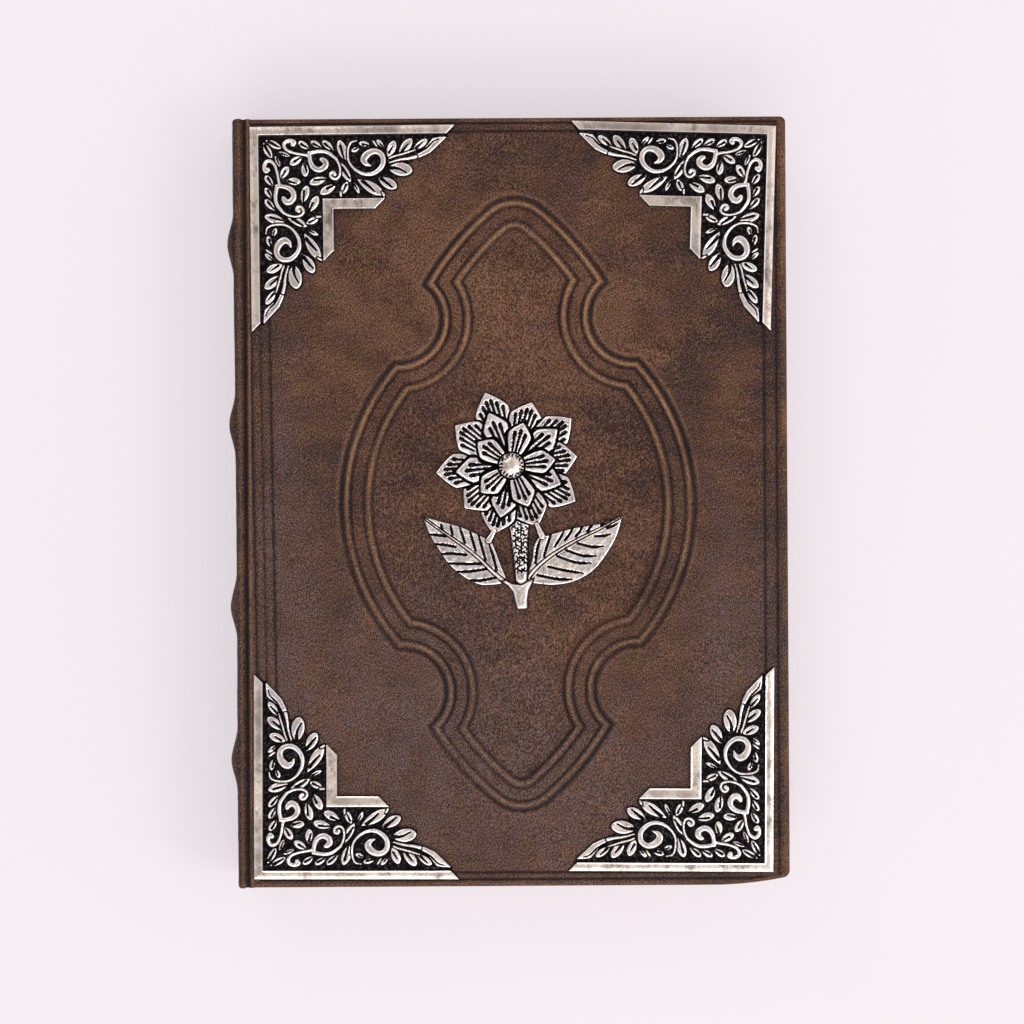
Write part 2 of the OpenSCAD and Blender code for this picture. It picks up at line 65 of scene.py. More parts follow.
Place = tuple[float, float, float]
Pair = tuple[float, float]
Path = tuple[Pair, ...]
Area = tuple[slice, slice]
Material = bpy.types.Material
Node = bpy.types.Node
NodeTree = bpy.types.NodeTree
Piece = bpy.types.Object
Socket = bpy.types.NodeSocket
log = logging.getLogger("book")

MM = 0.001
HINGE_GAP = 0.15
SHARP_ANGLE = 50
LATTICE = 97
FAR_INSET = 50.0
MIX_COLOURS = (6, 7)


# Numbers and curves


def smooth_step(low: float, high: float, value: Array) -> Array:
    """Eases from 0 at low to 1 at high: 3t^2 - 2t^3 of the clipped share t."""
    share = np.clip((value - low) / (high - low), 0, 1)
    return share * share * (3 - 2 * share)


def bell(value: Array, middle: float | Array, width: float) -> Array:
    """Bell of height 1 round a middle: exp(-((value - middle) / width)^2)."""
    return np.exp(-(((value - middle) / width) ** 2))


def value_noise(x: Array, y: Array, cell: float, seed: int) -> Array:
    """Smooth noise between -1 and 1.

    Random values on a lattice, blended by the smooth step of the place in each cell.

    Args:
        x, y: Places in millimetres.
        cell: Width of a lattice cell in millimetres.
        seed: Seed of the lattice.

    Returns:
        One value per place.
    """
    lattice = np.random.default_rng(seed).uniform(-1, 1, (LATTICE, LATTICE))
    column, row = np.floor(x / cell).astype(int), np.floor(y / cell).astype(int)
    across, along = x / cell - column, y / cell - row
    across, along = across**2 * (3 - 2 * across), along**2 * (3 - 2 * along)
    corners = [lattice[(row + i) % LATTICE, (column + j) % LATTICE] for i in (0, 1) for j in (0, 1)]
    low = corners[0] * (1 - across) + corners[1] * across
    high = corners[2] * (1 - across) + corners[3] * across
    return low * (1 - along) + high * along


def curve_through(points: list[Pair], steps: int = 8) -> Array:
    """Smooth open curve through points, by the Catmull-Rom blend of four neighbours.

    Args:
        points: Places that the curve passes.
        steps: Samples from one place to the next.

    Returns:
        Array of places, the last point included.
    """
    knots = np.array(points, float)
    padded = np.vstack([2 * knots[0] - knots[1], knots, 2 * knots[-1] - knots[-2]])
    before, start, end, after = padded[:-3], padded[1:-2], padded[2:-1], padded[3:]
    t = np.linspace(0, 1, steps, endpoint=False)[:, None, None]
    samples = 0.5 * (
        2 * start
        + (end - before) * t
        + (2 * before - 5 * start + 4 * end - after) * t**2
        + (3 * start - before - 3 * end + after) * t**3
    )
    return np.vstack([samples.transpose(1, 0, 2).reshape(-1, 2), knots[-1]])


def circles_meet(first: Array, first_r: Array, second: Array, second_r: Array, hand: int) -> Array:
    """One of the two places where two circles cross, for many pairs of radii.

    The chord's foot lies at (d^2 + r1^2 - r2^2) / 2d along the line of centres, and the
    place is its half chord away to the left (hand 1) or to the right (hand -1).
    """
    line = second - first
    gap = np.hypot(*line)
    foot = (gap**2 + first_r**2 - second_r**2) / (2 * gap)
    half_chord = np.sqrt(np.maximum(first_r**2 - foot**2, 0))
    ahead, left = line / gap, np.array([-line[1], line[0]]) / gap
    return first + foot[:, None] * ahead + hand * half_chord[:, None] * left


# Meshes


@dataclass
class Surface:
    """Points in millimetres, four-sided faces and named values, one per point."""

    points: Array
    faces: Array
    marks: dict[str, Array] = field(default_factory=dict)


def grid_faces(rows: int, columns: int, wrap: bool) -> Array:
    """Faces of a grid of points laid out row by row, closed round if wrap is set."""
    row = np.arange(rows - 1)[:, None] * columns
    column = np.arange(columns if wrap else columns - 1)[None, :]
    beside = (column + 1) % columns
    corners = [row + column, row + beside, row + columns + beside, row + columns + column]
    return np.stack(corners, axis=-1).reshape(-1, 4)


def node_box(node: str) -> tuple[Array, Array]:
    """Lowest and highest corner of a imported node, in millimetres."""
    low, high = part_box(node)
    return np.array(low) / MM, np.array(high) / MM


def make_piece(name: str, surface: Surface, finish: Material, nodes: list[str]) -> Piece:
    """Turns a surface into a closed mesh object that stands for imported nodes.

    Doubled points are merged and the faces turned outwards, so collapsed rows close.

    Args:
        name: Name of the piece.
        surface: Its points, faces and marks.
        finish: Its material.
        nodes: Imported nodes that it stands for.

    Returns:
        The new object, at the origin.
    """
    mesh = bpy.data.meshes.new(name)
    mesh.from_pydata((surface.points * MM).tolist(), [], surface.faces.tolist())
    for mark, values in surface.marks.items():
        layer = mesh.attributes.new(mark, "FLOAT", "POINT")
        layer.data.foreach_set("value", np.ascontiguousarray(values, np.float32).ravel())
    shaped = bmesh.new()
    shaped.from_mesh(mesh)
    bmesh.ops.remove_doubles(shaped, verts=shaped.verts, dist=1e-7)
    rims = [edge for edge in shaped.edges if edge.is_boundary]
    if rims:
        bmesh.ops.triangle_fill(shaped, edges=rims, use_beauty=True)
    bmesh.ops.recalc_face_normals(shaped, faces=shaped.faces)
    shaped.to_mesh(mesh)
    shaped.free()
    mesh.shade_smooth()
    mesh.set_sharp_from_angle(angle=math.radians(SHARP_ANGLE))
    mesh.materials.append(finish)
    piece = bpy.data.objects.new(name, mesh)
    bpy.context.scene.collection.objects.link(piece)
    if nodes:
        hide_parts(*nodes)
    log.info("%s: %d faces", name, len(mesh.polygons))
    return piece


# Shader building


class Graph:
    """Short calls for one node tree."""

    def __init__(self, tree: NodeTree) -> None:
        """Keeps the tree."""
        self.tree = tree

    def node(self, kind: str, inputs: dict[str | int, object] | None = None, **settings: object) -> Node:
        """Adds a node.

        Args:
            kind: Its type, without the ShaderNode prefix.
            inputs: Values or sockets for its inputs, by name or number.
            settings: Properties of the node.

        Returns:
            The node.
        """
        made = self.tree.nodes.new(f"ShaderNode{kind}")
        for key, value in settings.items():
            setattr(made, key, value)
        for key, value in (inputs or {}).items():
            if isinstance(value, Socket):
                self.tree.links.new(value, made.inputs[key])
            else:
                made.inputs[key].default_value = value
        return made

    def feed(self, node: Node, sockets: dict[str, Socket]) -> None:
        """Links sockets to a node's inputs, by their labels."""
        for label, socket in sockets.items():
            self.tree.links.new(socket, node.inputs[label])

    def maths(self, operation: str, *values: object, clamp: bool = False) -> Socket:
        """Output of a Math node over sockets or numbers."""
        return self.node("Math", dict(enumerate(values)), operation=operation, use_clamp=clamp).outputs[0]

    def times(self, first: object, second: object) -> Socket:
        """Product of two values."""
        return self.maths("MULTIPLY", first, second)

    def plus(self, first: object, second: object, clamp: bool = False) -> Socket:
        """Sum of two values, held between 0 and 1 if clamp is set."""
        return self.maths("ADD", first, second, clamp=clamp)

    def noise(self, place: Socket, scale: float, detail: float = 4, rough: float = 0.55) -> Socket:
        """Height of a noise texture at a place, between 0 and 1."""
        inputs = {"Vector": place, "Scale": scale, "Detail": detail, "Roughness": rough}
        return self.node("TexNoise", inputs).outputs["Fac"]

    def remap(self, value: Socket, low: float, high: float, to_low: float = 0, to_high: float = 1) -> Socket:
        """Smoothly eases a value from one range to another, held at its ends."""
        inputs = {"Value": value, "From Min": low, "From Max": high, "To Min": to_low, "To Max": to_high}
        return self.node("MapRange", inputs, interpolation_type="SMOOTHSTEP").outputs["Result"]

    def mix(self, share: object, first: object, second: object, blend: str = "MIX") -> Socket:
        """Blends two colours.

        Args:
            share: Share of the second colour, a socket or a number.
            first: A socket or a colour.
            second: A socket or a colour.
            blend: The Mix node's way of blending.

        Returns:
            The blended colour.
        """
        made = self.node("Mix", {0: share}, data_type="RGBA", blend_type=blend, clamp_factor=True)
        for slot, value in zip(MIX_COLOURS, (first, second)):
            if isinstance(value, Socket):
                self.tree.links.new(value, made.inputs[slot])
            else:
                made.inputs[slot].default_value = (*value, 1)
        return made.outputs[2]

    def tint(self, colour: object, other: Colour, mask: Socket, share: float) -> Socket:
        """Blends another colour in where a mask is set, by at most a share."""
        return self.mix(self.times(mask, share), colour, other)

    def stretched(self, place: Socket, scale: Place, turn: float = 0) -> Socket:
        """The place scaled along each axis and turned about Z, in radians."""
        return self.node("Mapping", {"Vector": place, "Scale": scale, "Rotation": (0, 0, turn)}).outputs[0]

    def mark(self, name: str) -> Socket:
        """Value of a mesh mark."""
        return self.node("Attribute", attribute_name=name).outputs["Fac"]

    def bump(self, height: Socket, strength: float, distance: float, normal: Socket | None = None) -> Socket:
        """Normal bumped by a height, of a distance in millimetres."""
        inputs: dict[str | int, object] = {"Height": height, "Strength": strength, "Distance": distance * MM}
        if normal is not None:
            inputs["Normal"] = normal
        return self.node("Bump", inputs).outputs[0]


class MaterialGraph(Graph):
    """Node tree of a new material round its Principled BSDF."""

    def __init__(self, name: str) -> None:
        """Makes the material."""
        self.material = bpy.data.materials.new(name)
        self.material.use_nodes = True
        super().__init__(self.material.node_tree)
        self.shader = self.tree.nodes["Principled BSDF"]

    def group(self, tree: NodeTree, **inputs: float) -> Node:
        """Places a shared group with its own values."""
        made = self.node("Group", node_tree=tree)
        for label, value in inputs.items():
            made.inputs[label].default_value = value
        return made

    def coat(self, colour: Socket, rough: Socket, normal: Socket) -> None:
        """Feeds the shader's colour, roughness and normal."""
        self.feed(self.shader, {"Base Color": colour, "Roughness": rough, "Normal": normal})

    def fix(self, **values: float) -> None:
        """Sets plain values on the shader's sockets, by their labels with _ for each space."""
        for label, value in values.items():
            self.shader.inputs[label.replace("_", " ")].default_value = value


def new_group(name: str, inputs: dict[str, float], outputs: tuple[str, ...]) -> tuple[Graph, Node, Node]:
    """Starts a shader node group.

    Args:
        name: Name of the group.
        inputs: Names and defaults of its number inputs.
        outputs: Names of its number outputs.

    Returns:
        Its graph, its input node and its output node.
    """
    tree = bpy.data.node_groups.new(name, "ShaderNodeTree")
    for label, default in inputs.items():
        socket = tree.interface.new_socket(label, in_out="INPUT", socket_type="NodeSocketFloat")
        socket.default_value = default
    for label in outputs:
        tree.interface.new_socket(label, in_out="OUTPUT", socket_type="NodeSocketFloat")
    return Graph(tree), tree.nodes.new("NodeGroupInput"), tree.nodes.new("NodeGroupOutput")


def object_place(graph: Graph) -> Socket:
    """Object coordinates."""
    return graph.node("TexCoord").outputs["Object"]


def grain_group() -> NodeTree:
    """Leather grain: pebbles between fine creases, with pores.

    Returns:
        Group with input Pebble (mm) and outputs Height and Pore, both 0 to 1.
    """
    graph, start, end = new_group("Grain", {"Pebble": 1.0}, ("Height", "Pore"))
    place = object_place(graph)
    warp = graph.node("TexNoise", {"Vector": place, "Scale": 420.0, "Detail": 2.0}).outputs["Color"]
    bent = graph.node("VectorMath", {0: warp, 1: (0.5, 0.5, 0.5)}, operation="SUBTRACT").outputs[0]
    bent = graph.node("VectorMath", {0: bent, "Scale": 1.6 * MM}, operation="SCALE").outputs[0]
    bent = graph.node("VectorMath", {0: place, 1: bent}, operation="ADD").outputs[0]
    size = graph.maths("DIVIDE", 1 / MM, start.outputs["Pebble"])
    cells = graph.node("TexVoronoi", {"Vector": bent, "Scale": size}, feature="DISTANCE_TO_EDGE")
    pebble = graph.remap(cells.outputs["Distance"], 0.0, 0.22)
    fine = graph.noise(bent, 2600.0, 3, 0.6)
    height = graph.plus(graph.times(pebble, 0.55), graph.times(fine, 0.45))
    graph.feed(end, {"Height": height, "Pore": graph.remap(fine, 0.36, 0.52, 1, 0)})
    return graph.tree


def mottle_group() -> NodeTree:
    """Uneven dye: broad clouds, streaks across the hide, fine specks and shifts of hue.

    Returns:
        Group with input Streak and outputs Cloud, Streaks, Speck and Hue, all 0 to 1.
    """
    graph, start, end = new_group("Mottle", {"Streak": 1.0}, ("Cloud", "Streaks", "Speck", "Hue"))
    place = object_place(graph)
    broad = graph.noise(place, 24.0, 5, 0.58)
    patches = graph.noise(graph.stretched(place, (1, 1.4, 1), 0.4), 75.0, 5, 0.62)
    cloud = graph.plus(graph.times(broad, 0.55), graph.times(patches, 0.45))
    streaks = graph.noise(graph.stretched(place, (0.35, 1.6, 1), 0.12), 110.0, 6, 0.65)
    speck = graph.noise(graph.stretched(place, (1, 0.72, 1), -0.5), 2500.0, 2, 0.75)
    hue = graph.noise(graph.stretched(place, (1.3, 0.8, 1), 0.2), 120.0, 7, 0.72)
    ends = {
        "Cloud": graph.remap(cloud, 0.36, 0.64),
        "Streaks": graph.times(graph.remap(streaks, 0.42, 0.68), start.outputs["Streak"]),
        "Speck": graph.remap(speck, 0.3, 0.7),
        "Hue": graph.remap(hue, 0.36, 0.64),
    }
    graph.feed(end, ends)
    return graph.tree


def scuff_group() -> NodeTree:
    """Thin scratches in two directions and wandering creases, broken up by masks.

    A crease runs where a broad noise passes through its middle value.

    Returns:
        Group with input Density and outputs Scratch and Crease, 0 to 1.
    """
    graph, start, end = new_group("Scuffs", {"Density": 0.5}, ("Scratch", "Crease"))
    place = object_place(graph)
    broad = graph.noise(graph.stretched(place, (1, 0.55, 1), 0.5), 42.0, 5, 0.5)
    level = graph.maths("ABSOLUTE", graph.maths("SUBTRACT", broad, 0.5))
    crease = graph.times(
        graph.remap(level, 0.0, 0.008, 1, 0),
        graph.remap(graph.noise(place, 60.0, 2), 0.44, 0.58),
    )
    scratches: object = 0.0
    for turn, seed in ((0.7, 3.1), (-0.35, 7.7)):
        along = graph.stretched(place, (1.0, 0.05, 1.0), turn)
        moved = graph.node("VectorMath", {0: along, 1: (seed, seed, 0)}, operation="ADD").outputs[0]
        lines = graph.remap(graph.noise(moved, 900.0, 2, 0.5), 0.70, 0.78)
        scratches = graph.maths("MAXIMUM", scratches, lines)
    spread = graph.remap(graph.noise(place, 45.0, 3), 0.5, 0.68)
    scratch = graph.times(scratches, graph.times(spread, start.outputs["Density"]))
    graph.feed(end, {"Scratch": scratch, "Crease": crease})
    return graph.tree


class Groups:
    """The shared shader groups, each built once."""

    def __init__(self) -> None:
        """Builds the groups."""
        self.grain = grain_group()
        self.mottle = mottle_group()
        self.scuffs = scuff_group()


@dataclass(frozen=True)
class Finish:
    """A finish of one of the book's materials."""

    name: str

    def paint(self, graph: MaterialGraph, groups: Groups) -> None:
        """Adds the finish's own nodes to its material."""
        raise NotImplementedError

    def build(self, groups: Groups) -> Material:
        """Builds the material.

        Args:
            groups: The shared shader groups.

        Returns:
            The material.
        """
        graph = MaterialGraph(self.name)
        self.paint(graph, groups)
        return graph.material


@dataclass(frozen=True)
class LeatherFinish(Finish):
    """Dyed calf leather: mottled brown, rubbed tan on the crests, near black in the tooling and in painted
    shade in the grooves, with a painted pinkish sheen and painted glints on the grain.
    """

    dark: Colour = (0.030, 0.0165, 0.016)
    middle: Colour = (0.080, 0.032, 0.017)
    light: Colour = (0.172, 0.078, 0.041)
    red: Colour = (0.074, 0.034, 0.030)
    olive: Colour = (0.088, 0.046, 0.020)
    painted_sheen: Colour = (0.104, 0.061, 0.054)
    tooled_and_painted_shade: Colour = (0.006, 0.004, 0.007)
    rubbed: Colour = (0.36, 0.185, 0.090)
    painted_grain_glint: Colour = (0.29, 0.19, 0.145)
    hue_share: float = 0.8
    light_share: float = 0.55
    streak_share: float = 0.22
    painted_sheen_shares: Pair = (0.95, 0.35)
    speck_shades: Pair = (0.24, 1.66)
    grain_shades: Pair = (-0.12, 0.12)
    pore_share: float = 0.2
    scratch_share: float = 0.5
    crease_share: float = 0.6
    painted_grain_glint_share: float = 0.4
    worn_shares: Pair = (0.35, 1.0)
    worn_share: float = 0.95
    tooled_and_painted_shade_share: float = 0.93
    roughness: Pair = (0.62, 0.44)
    gloss: float = 0.16
    pebble: float = 0.85
    scratches: float = 0.55
    tooling: bool = True

    def dye(self, graph: MaterialGraph, mottle: Node) -> Socket:
        """Mixes the dye: dark to light by the clouds, shifted in hue, with a painted pinkish sheen in
        places.

        Args:
            graph: The material's node tree.
            mottle: The mottle group in it.

        Returns:
            Its colour.
        """
        tone = graph.mark("tone") if self.tooling else 0.0
        cloud = graph.plus(mottle.outputs["Cloud"], tone, clamp=True)
        hue = mottle.outputs["Hue"]
        middle = graph.mix(graph.remap(hue, 0.0, 0.45, self.hue_share, 0), self.middle, self.red)
        middle = graph.mix(graph.remap(hue, 0.6, 1.0, 0, self.hue_share), middle, self.olive)
        colour = graph.mix(graph.remap(cloud, -0.2, 0.5), self.dark, middle)
        colour = graph.tint(colour, self.light, graph.remap(cloud, 0.45, 1.05), self.light_share)
        colour = graph.tint(colour, self.light, mottle.outputs["Streaks"], self.streak_share)
        if self.tooling:
            # painted sheen: a paler pinkish tint where the sheen mark is set
            painted_sheen = graph.times(graph.mark("painted_sheen"), graph.remap(hue, 0.2, 0.9, *self.painted_sheen_shares))
            colour = graph.mix(painted_sheen, colour, self.painted_sheen)
        return colour

    def paint(self, graph: MaterialGraph, groups: Groups) -> None:
        """Adds the dye, the grain's shading, the scuffs, painted glints on the grain and, on the covers, the
        tooling with painted shade in its grooves.

        Args:
            graph: The material's node tree.
            groups: The shared shader groups.
        """
        mottle = graph.group(groups.mottle, Streak=1.0)
        grain = graph.group(groups.grain, Pebble=self.pebble)
        scuffs = graph.group(groups.scuffs, Density=self.scratches)
        speck, scratch = mottle.outputs["Speck"], scuffs.outputs["Scratch"]
        shade = graph.remap(speck, 0.1, 0.9, *self.speck_shades)
        shade = graph.plus(shade, graph.remap(grain.outputs["Height"], 0.2, 0.8, *self.grain_shades))
        grey = graph.node("CombineColor", {0: shade, 1: shade, 2: shade}).outputs[0]
        colour = graph.mix(1.0, self.dye(graph, mottle), grey, "MULTIPLY")
        colour = graph.tint(colour, self.dark, grain.outputs["Pore"], self.pore_share)
        colour = graph.tint(colour, self.rubbed, scratch, self.scratch_share)
        colour = graph.tint(colour, self.dark, scuffs.outputs["Crease"], self.crease_share)
        # painted glints: pale pinkish specks where the grain's speck is highest
        colour = graph.mix(graph.remap(speck, 0.7, 1.0, 0, self.painted_grain_glint_share), colour, self.painted_grain_glint)
        if self.tooling:
            worn = graph.times(graph.mark("crest"), graph.remap(speck, 0.1, 0.8, *self.worn_shares))
            colour = graph.tint(colour, self.rubbed, worn, self.worn_share)
            # near black where the hollow mark is set: the tooled lines, and painted shade at the panel's
            # wall, in the hinge grooves and by the spine's rolls
            colour = graph.tint(colour, self.tooled_and_painted_shade, graph.mark("hollow"), self.tooled_and_painted_shade_share)
        normal = graph.bump(grain.outputs["Height"], 0.55, 0.22)
        normal = graph.bump(graph.maths("SUBTRACT", 1.0, scratch), 0.4, 0.1, normal)
        graph.coat(colour, graph.remap(mottle.outputs["Cloud"], 0.0, 1.0, *self.roughness), normal)
        graph.fix(Specular_IOR_Level=self.gloss)


@dataclass(frozen=True)
class CastMetalFinish(Finish):
    """Cast white metal: black patina in the hollows, satin flats and polished rims."""

    patina: Colour = (0.006, 0.005, 0.006)
    dust: Colour = (0.085, 0.072, 0.07)
    dull: Colour = (0.27, 0.225, 0.185)
    satin: Colour = (0.92, 0.80, 0.665)
    polished: Colour = (1.0, 0.97, 0.94)
    smudge_share: float = 0.9
    broad_share: float = 0.7
    pit_share: float = 0.5
    scratch_share: float = 0.35
    scratches: float = 0.9
    roughness: Pair = (0.27, 0.17)
    patina_roughness: float = 0.3

    def paint(self, graph: MaterialGraph, groups: Groups) -> None:
        """Adds the tarnished and polished metal, with the patina over it.

        Args:
            graph: The material's node tree.
            groups: The shared shader groups.
        """
        place = object_place(graph)
        scuffs = graph.group(groups.scuffs, Density=self.scratches)
        pits = graph.noise(place, 2300.0, 3, 0.6)
        tarnish = graph.remap(graph.noise(place, 190.0, 5, 0.6), 0.35, 0.7, -0.2, 0.25)
        shine = graph.plus(graph.mark("shine"), tarnish, clamp=True)
        smudge = graph.noise(graph.stretched(place, (1, 0.6, 1), 0.8), 170.0, 7, 0.75)
        smudge = graph.times(graph.remap(smudge, 0.46, 0.64), self.smudge_share)
        broad = graph.noise(graph.stretched(place, (1, 0.8, 1), 0.3), 42.0, 3, 0.5)
        broad = graph.remap(broad, 0.47, 0.62, 0, self.broad_share)
        metal = graph.mix(graph.maths("MAXIMUM", smudge, broad), self.satin, self.dull)
        metal = graph.mix(shine, metal, self.polished)
        metal = graph.tint(metal, self.patina, graph.remap(pits, 0.62, 0.72), self.pit_share)
        metal = graph.tint(metal, self.polished, scuffs.outputs["Scratch"], self.scratch_share)
        edge = graph.plus(graph.mark("patina"), graph.remap(pits, 0.3, 0.7, -0.18, 0.18))
        black = graph.remap(edge, 0.35, 0.62)
        dusty = graph.remap(graph.noise(place, 1300.0, 3, 0.7), 0.5, 0.72)
        colour = graph.mix(black, metal, graph.mix(dusty, self.patina, self.dust))
        rough = graph.remap(shine, 0, 1, *self.roughness)
        rough = graph.plus(rough, graph.times(black, self.patina_roughness))
        normal = graph.bump(graph.noise(place, 230.0, 3), 0.6, 0.35, graph.bump(pits, 0.25, 0.03))
        graph.coat(colour, rough, normal)
        graph.fix(Metallic=1.0)


@dataclass(frozen=True)
class PaperFinish(Finish):
    """Aged laid paper with fibres and foxing; stripes add the edges of the leaves along Z, with painted
    shade in the gaps between leaves and between sections.
    """

    pale: Colour = (0.66, 0.56, 0.40)
    brown: Colour = (0.40, 0.28, 0.16)
    stain_share: float = 0.45
    foxing_share: float = 0.5
    gap_share: float = 0.55
    section_share: float = 0.3
    roughness: Pair = (0.78, 0.92)
    leaf_stripes: bool = False

    def paint(self, graph: MaterialGraph, groups: Groups) -> None:
        """Adds the stains, fibres and foxing, and the stripes of cut leaves.

        Args:
            graph: The material's node tree.
            groups: The shared shader groups.
        """
        place = object_place(graph)
        stain = graph.remap(graph.group(groups.mottle, Streak=0.6).outputs["Cloud"], 0.45, 1.0)
        foxing = graph.remap(graph.noise(place, 310.0, 2), 0.70, 0.76)
        fibre = graph.noise(graph.stretched(place, (1, 0.25, 1), 0.5), 1500.0, 4, 0.7)
        colour = graph.tint(self.pale, self.brown, stain, self.stain_share)
        colour = graph.tint(colour, self.brown, foxing, self.foxing_share)
        height = fibre
        if self.leaf_stripes:
            lines = graph.noise(graph.stretched(place, (0.02, 0.02, 1)), 5200.0, 2, 0.6)
            coarse = graph.noise(graph.stretched(place, (0.01, 0.01, 1)), 900.0, 2, 0.5)
            # painted shade: darker thin lines between leaves and broader bands between sections
            colour = graph.tint(colour, self.brown, graph.remap(lines, 0.35, 0.55, 1, 0), self.gap_share)
            colour = graph.tint(colour, self.brown, graph.remap(coarse, 0.4, 0.65, 1, 0), self.section_share)
            height = graph.plus(lines, graph.times(fibre, 0.2))
        graph.coat(colour, graph.remap(fibre, 0.3, 0.7, *self.roughness), graph.bump(height, 0.5, 0.12))


@dataclass(frozen=True)
class SilkFinish(Finish):
    """Silk sewn over the headband core, in two colours by turns."""

    first: Colour = (0.30, 0.035, 0.025)
    second: Colour = (0.62, 0.50, 0.31)
    soiled: Colour = (0.09, 0.05, 0.03)
    soil_share: float = 0.3
    stripe: float = 3.4
    thread: float = 0.42
    roughness: Pair = (0.4, 0.6)

    def paint(self, graph: MaterialGraph, groups: Groups) -> None:
        """Adds the stripes, the threads and some dirt.

        Args:
            graph: The material's node tree.
            groups: The shared shader groups.
        """
        place = object_place(graph)
        along = graph.node("SeparateXYZ", {0: place}).outputs["Z"]
        turns = [graph.times(along, 2 * math.pi / (length * MM)) for length in (self.stripe, self.thread)]
        wave, threads = (graph.maths("SINE", turn) for turn in turns)
        wave = graph.plus(wave, graph.remap(graph.noise(place, 900.0), 0.3, 0.7, -0.25, 0.25))
        speck = graph.group(groups.mottle, Streak=0.2).outputs["Speck"]
        colour = graph.mix(graph.remap(wave, -0.12, 0.12), self.first, self.second)
        colour = graph.tint(colour, self.soiled, speck, self.soil_share)
        graph.coat(colour, graph.remap(speck, 0, 1, *self.roughness), graph.bump(threads, 0.5, 0.08))


@dataclass(frozen=True)
class BoardFinish(Finish):
    """Grey-brown pulp board or loose woven lining, for what the leather covers."""

    pale: Colour = (0.36, 0.28, 0.19)
    dark: Colour = (0.20, 0.15, 0.10)
    roughness: Pair = (0.8, 0.95)

    def paint(self, graph: MaterialGraph, groups: Groups) -> None:
        """Adds the pulp's fibres.

        Args:
            graph: The material's node tree.
            groups: The shared shader groups.
        """
        cloud = graph.group(groups.mottle, Streak=0.5).outputs["Cloud"]
        fibre = graph.noise(graph.stretched(object_place(graph), (1, 0.3, 1), 0.9), 1300.0, 5, 0.7)
        colour = graph.mix(graph.times(cloud, fibre), self.dark, self.pale)
        graph.coat(colour, graph.remap(fibre, 0.3, 0.7, *self.roughness), graph.bump(fibre, 0.6, 0.15))


# The book's sizes


@dataclass(frozen=True)
class BookSizes:
    """Main sizes of the book in millimetres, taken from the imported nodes."""

    hinge_x: float
    fore_x: float
    half_h: float
    face_z: float
    inside_z: float
    panel_z: float

    @classmethod
    def from_frame(cls) -> "BookSizes":
        """Reads the sizes from the boxes of the leather and the flower."""
        low, high = node_box("front_leather")
        return cls(
            hinge_x=low[0] - HINGE_GAP,
            fore_x=high[0],
            half_h=high[1],
            face_z=high[2],
            inside_z=low[2],
            panel_z=node_box("flower_ornament")[0][2],
        )

    @property
    def middle_x(self) -> float:
        """Middle of the cover between hinge line and fore-edge."""
        return (self.hinge_x + self.fore_x) / 2

    @property
    def middle_z(self) -> float:
        """Half the height of the closed book."""
        return self.face_z / 2

    @property
    def cover_t(self) -> float:
        """Thickness of the front cover."""
        return self.face_z - self.inside_z


# Tooled covers


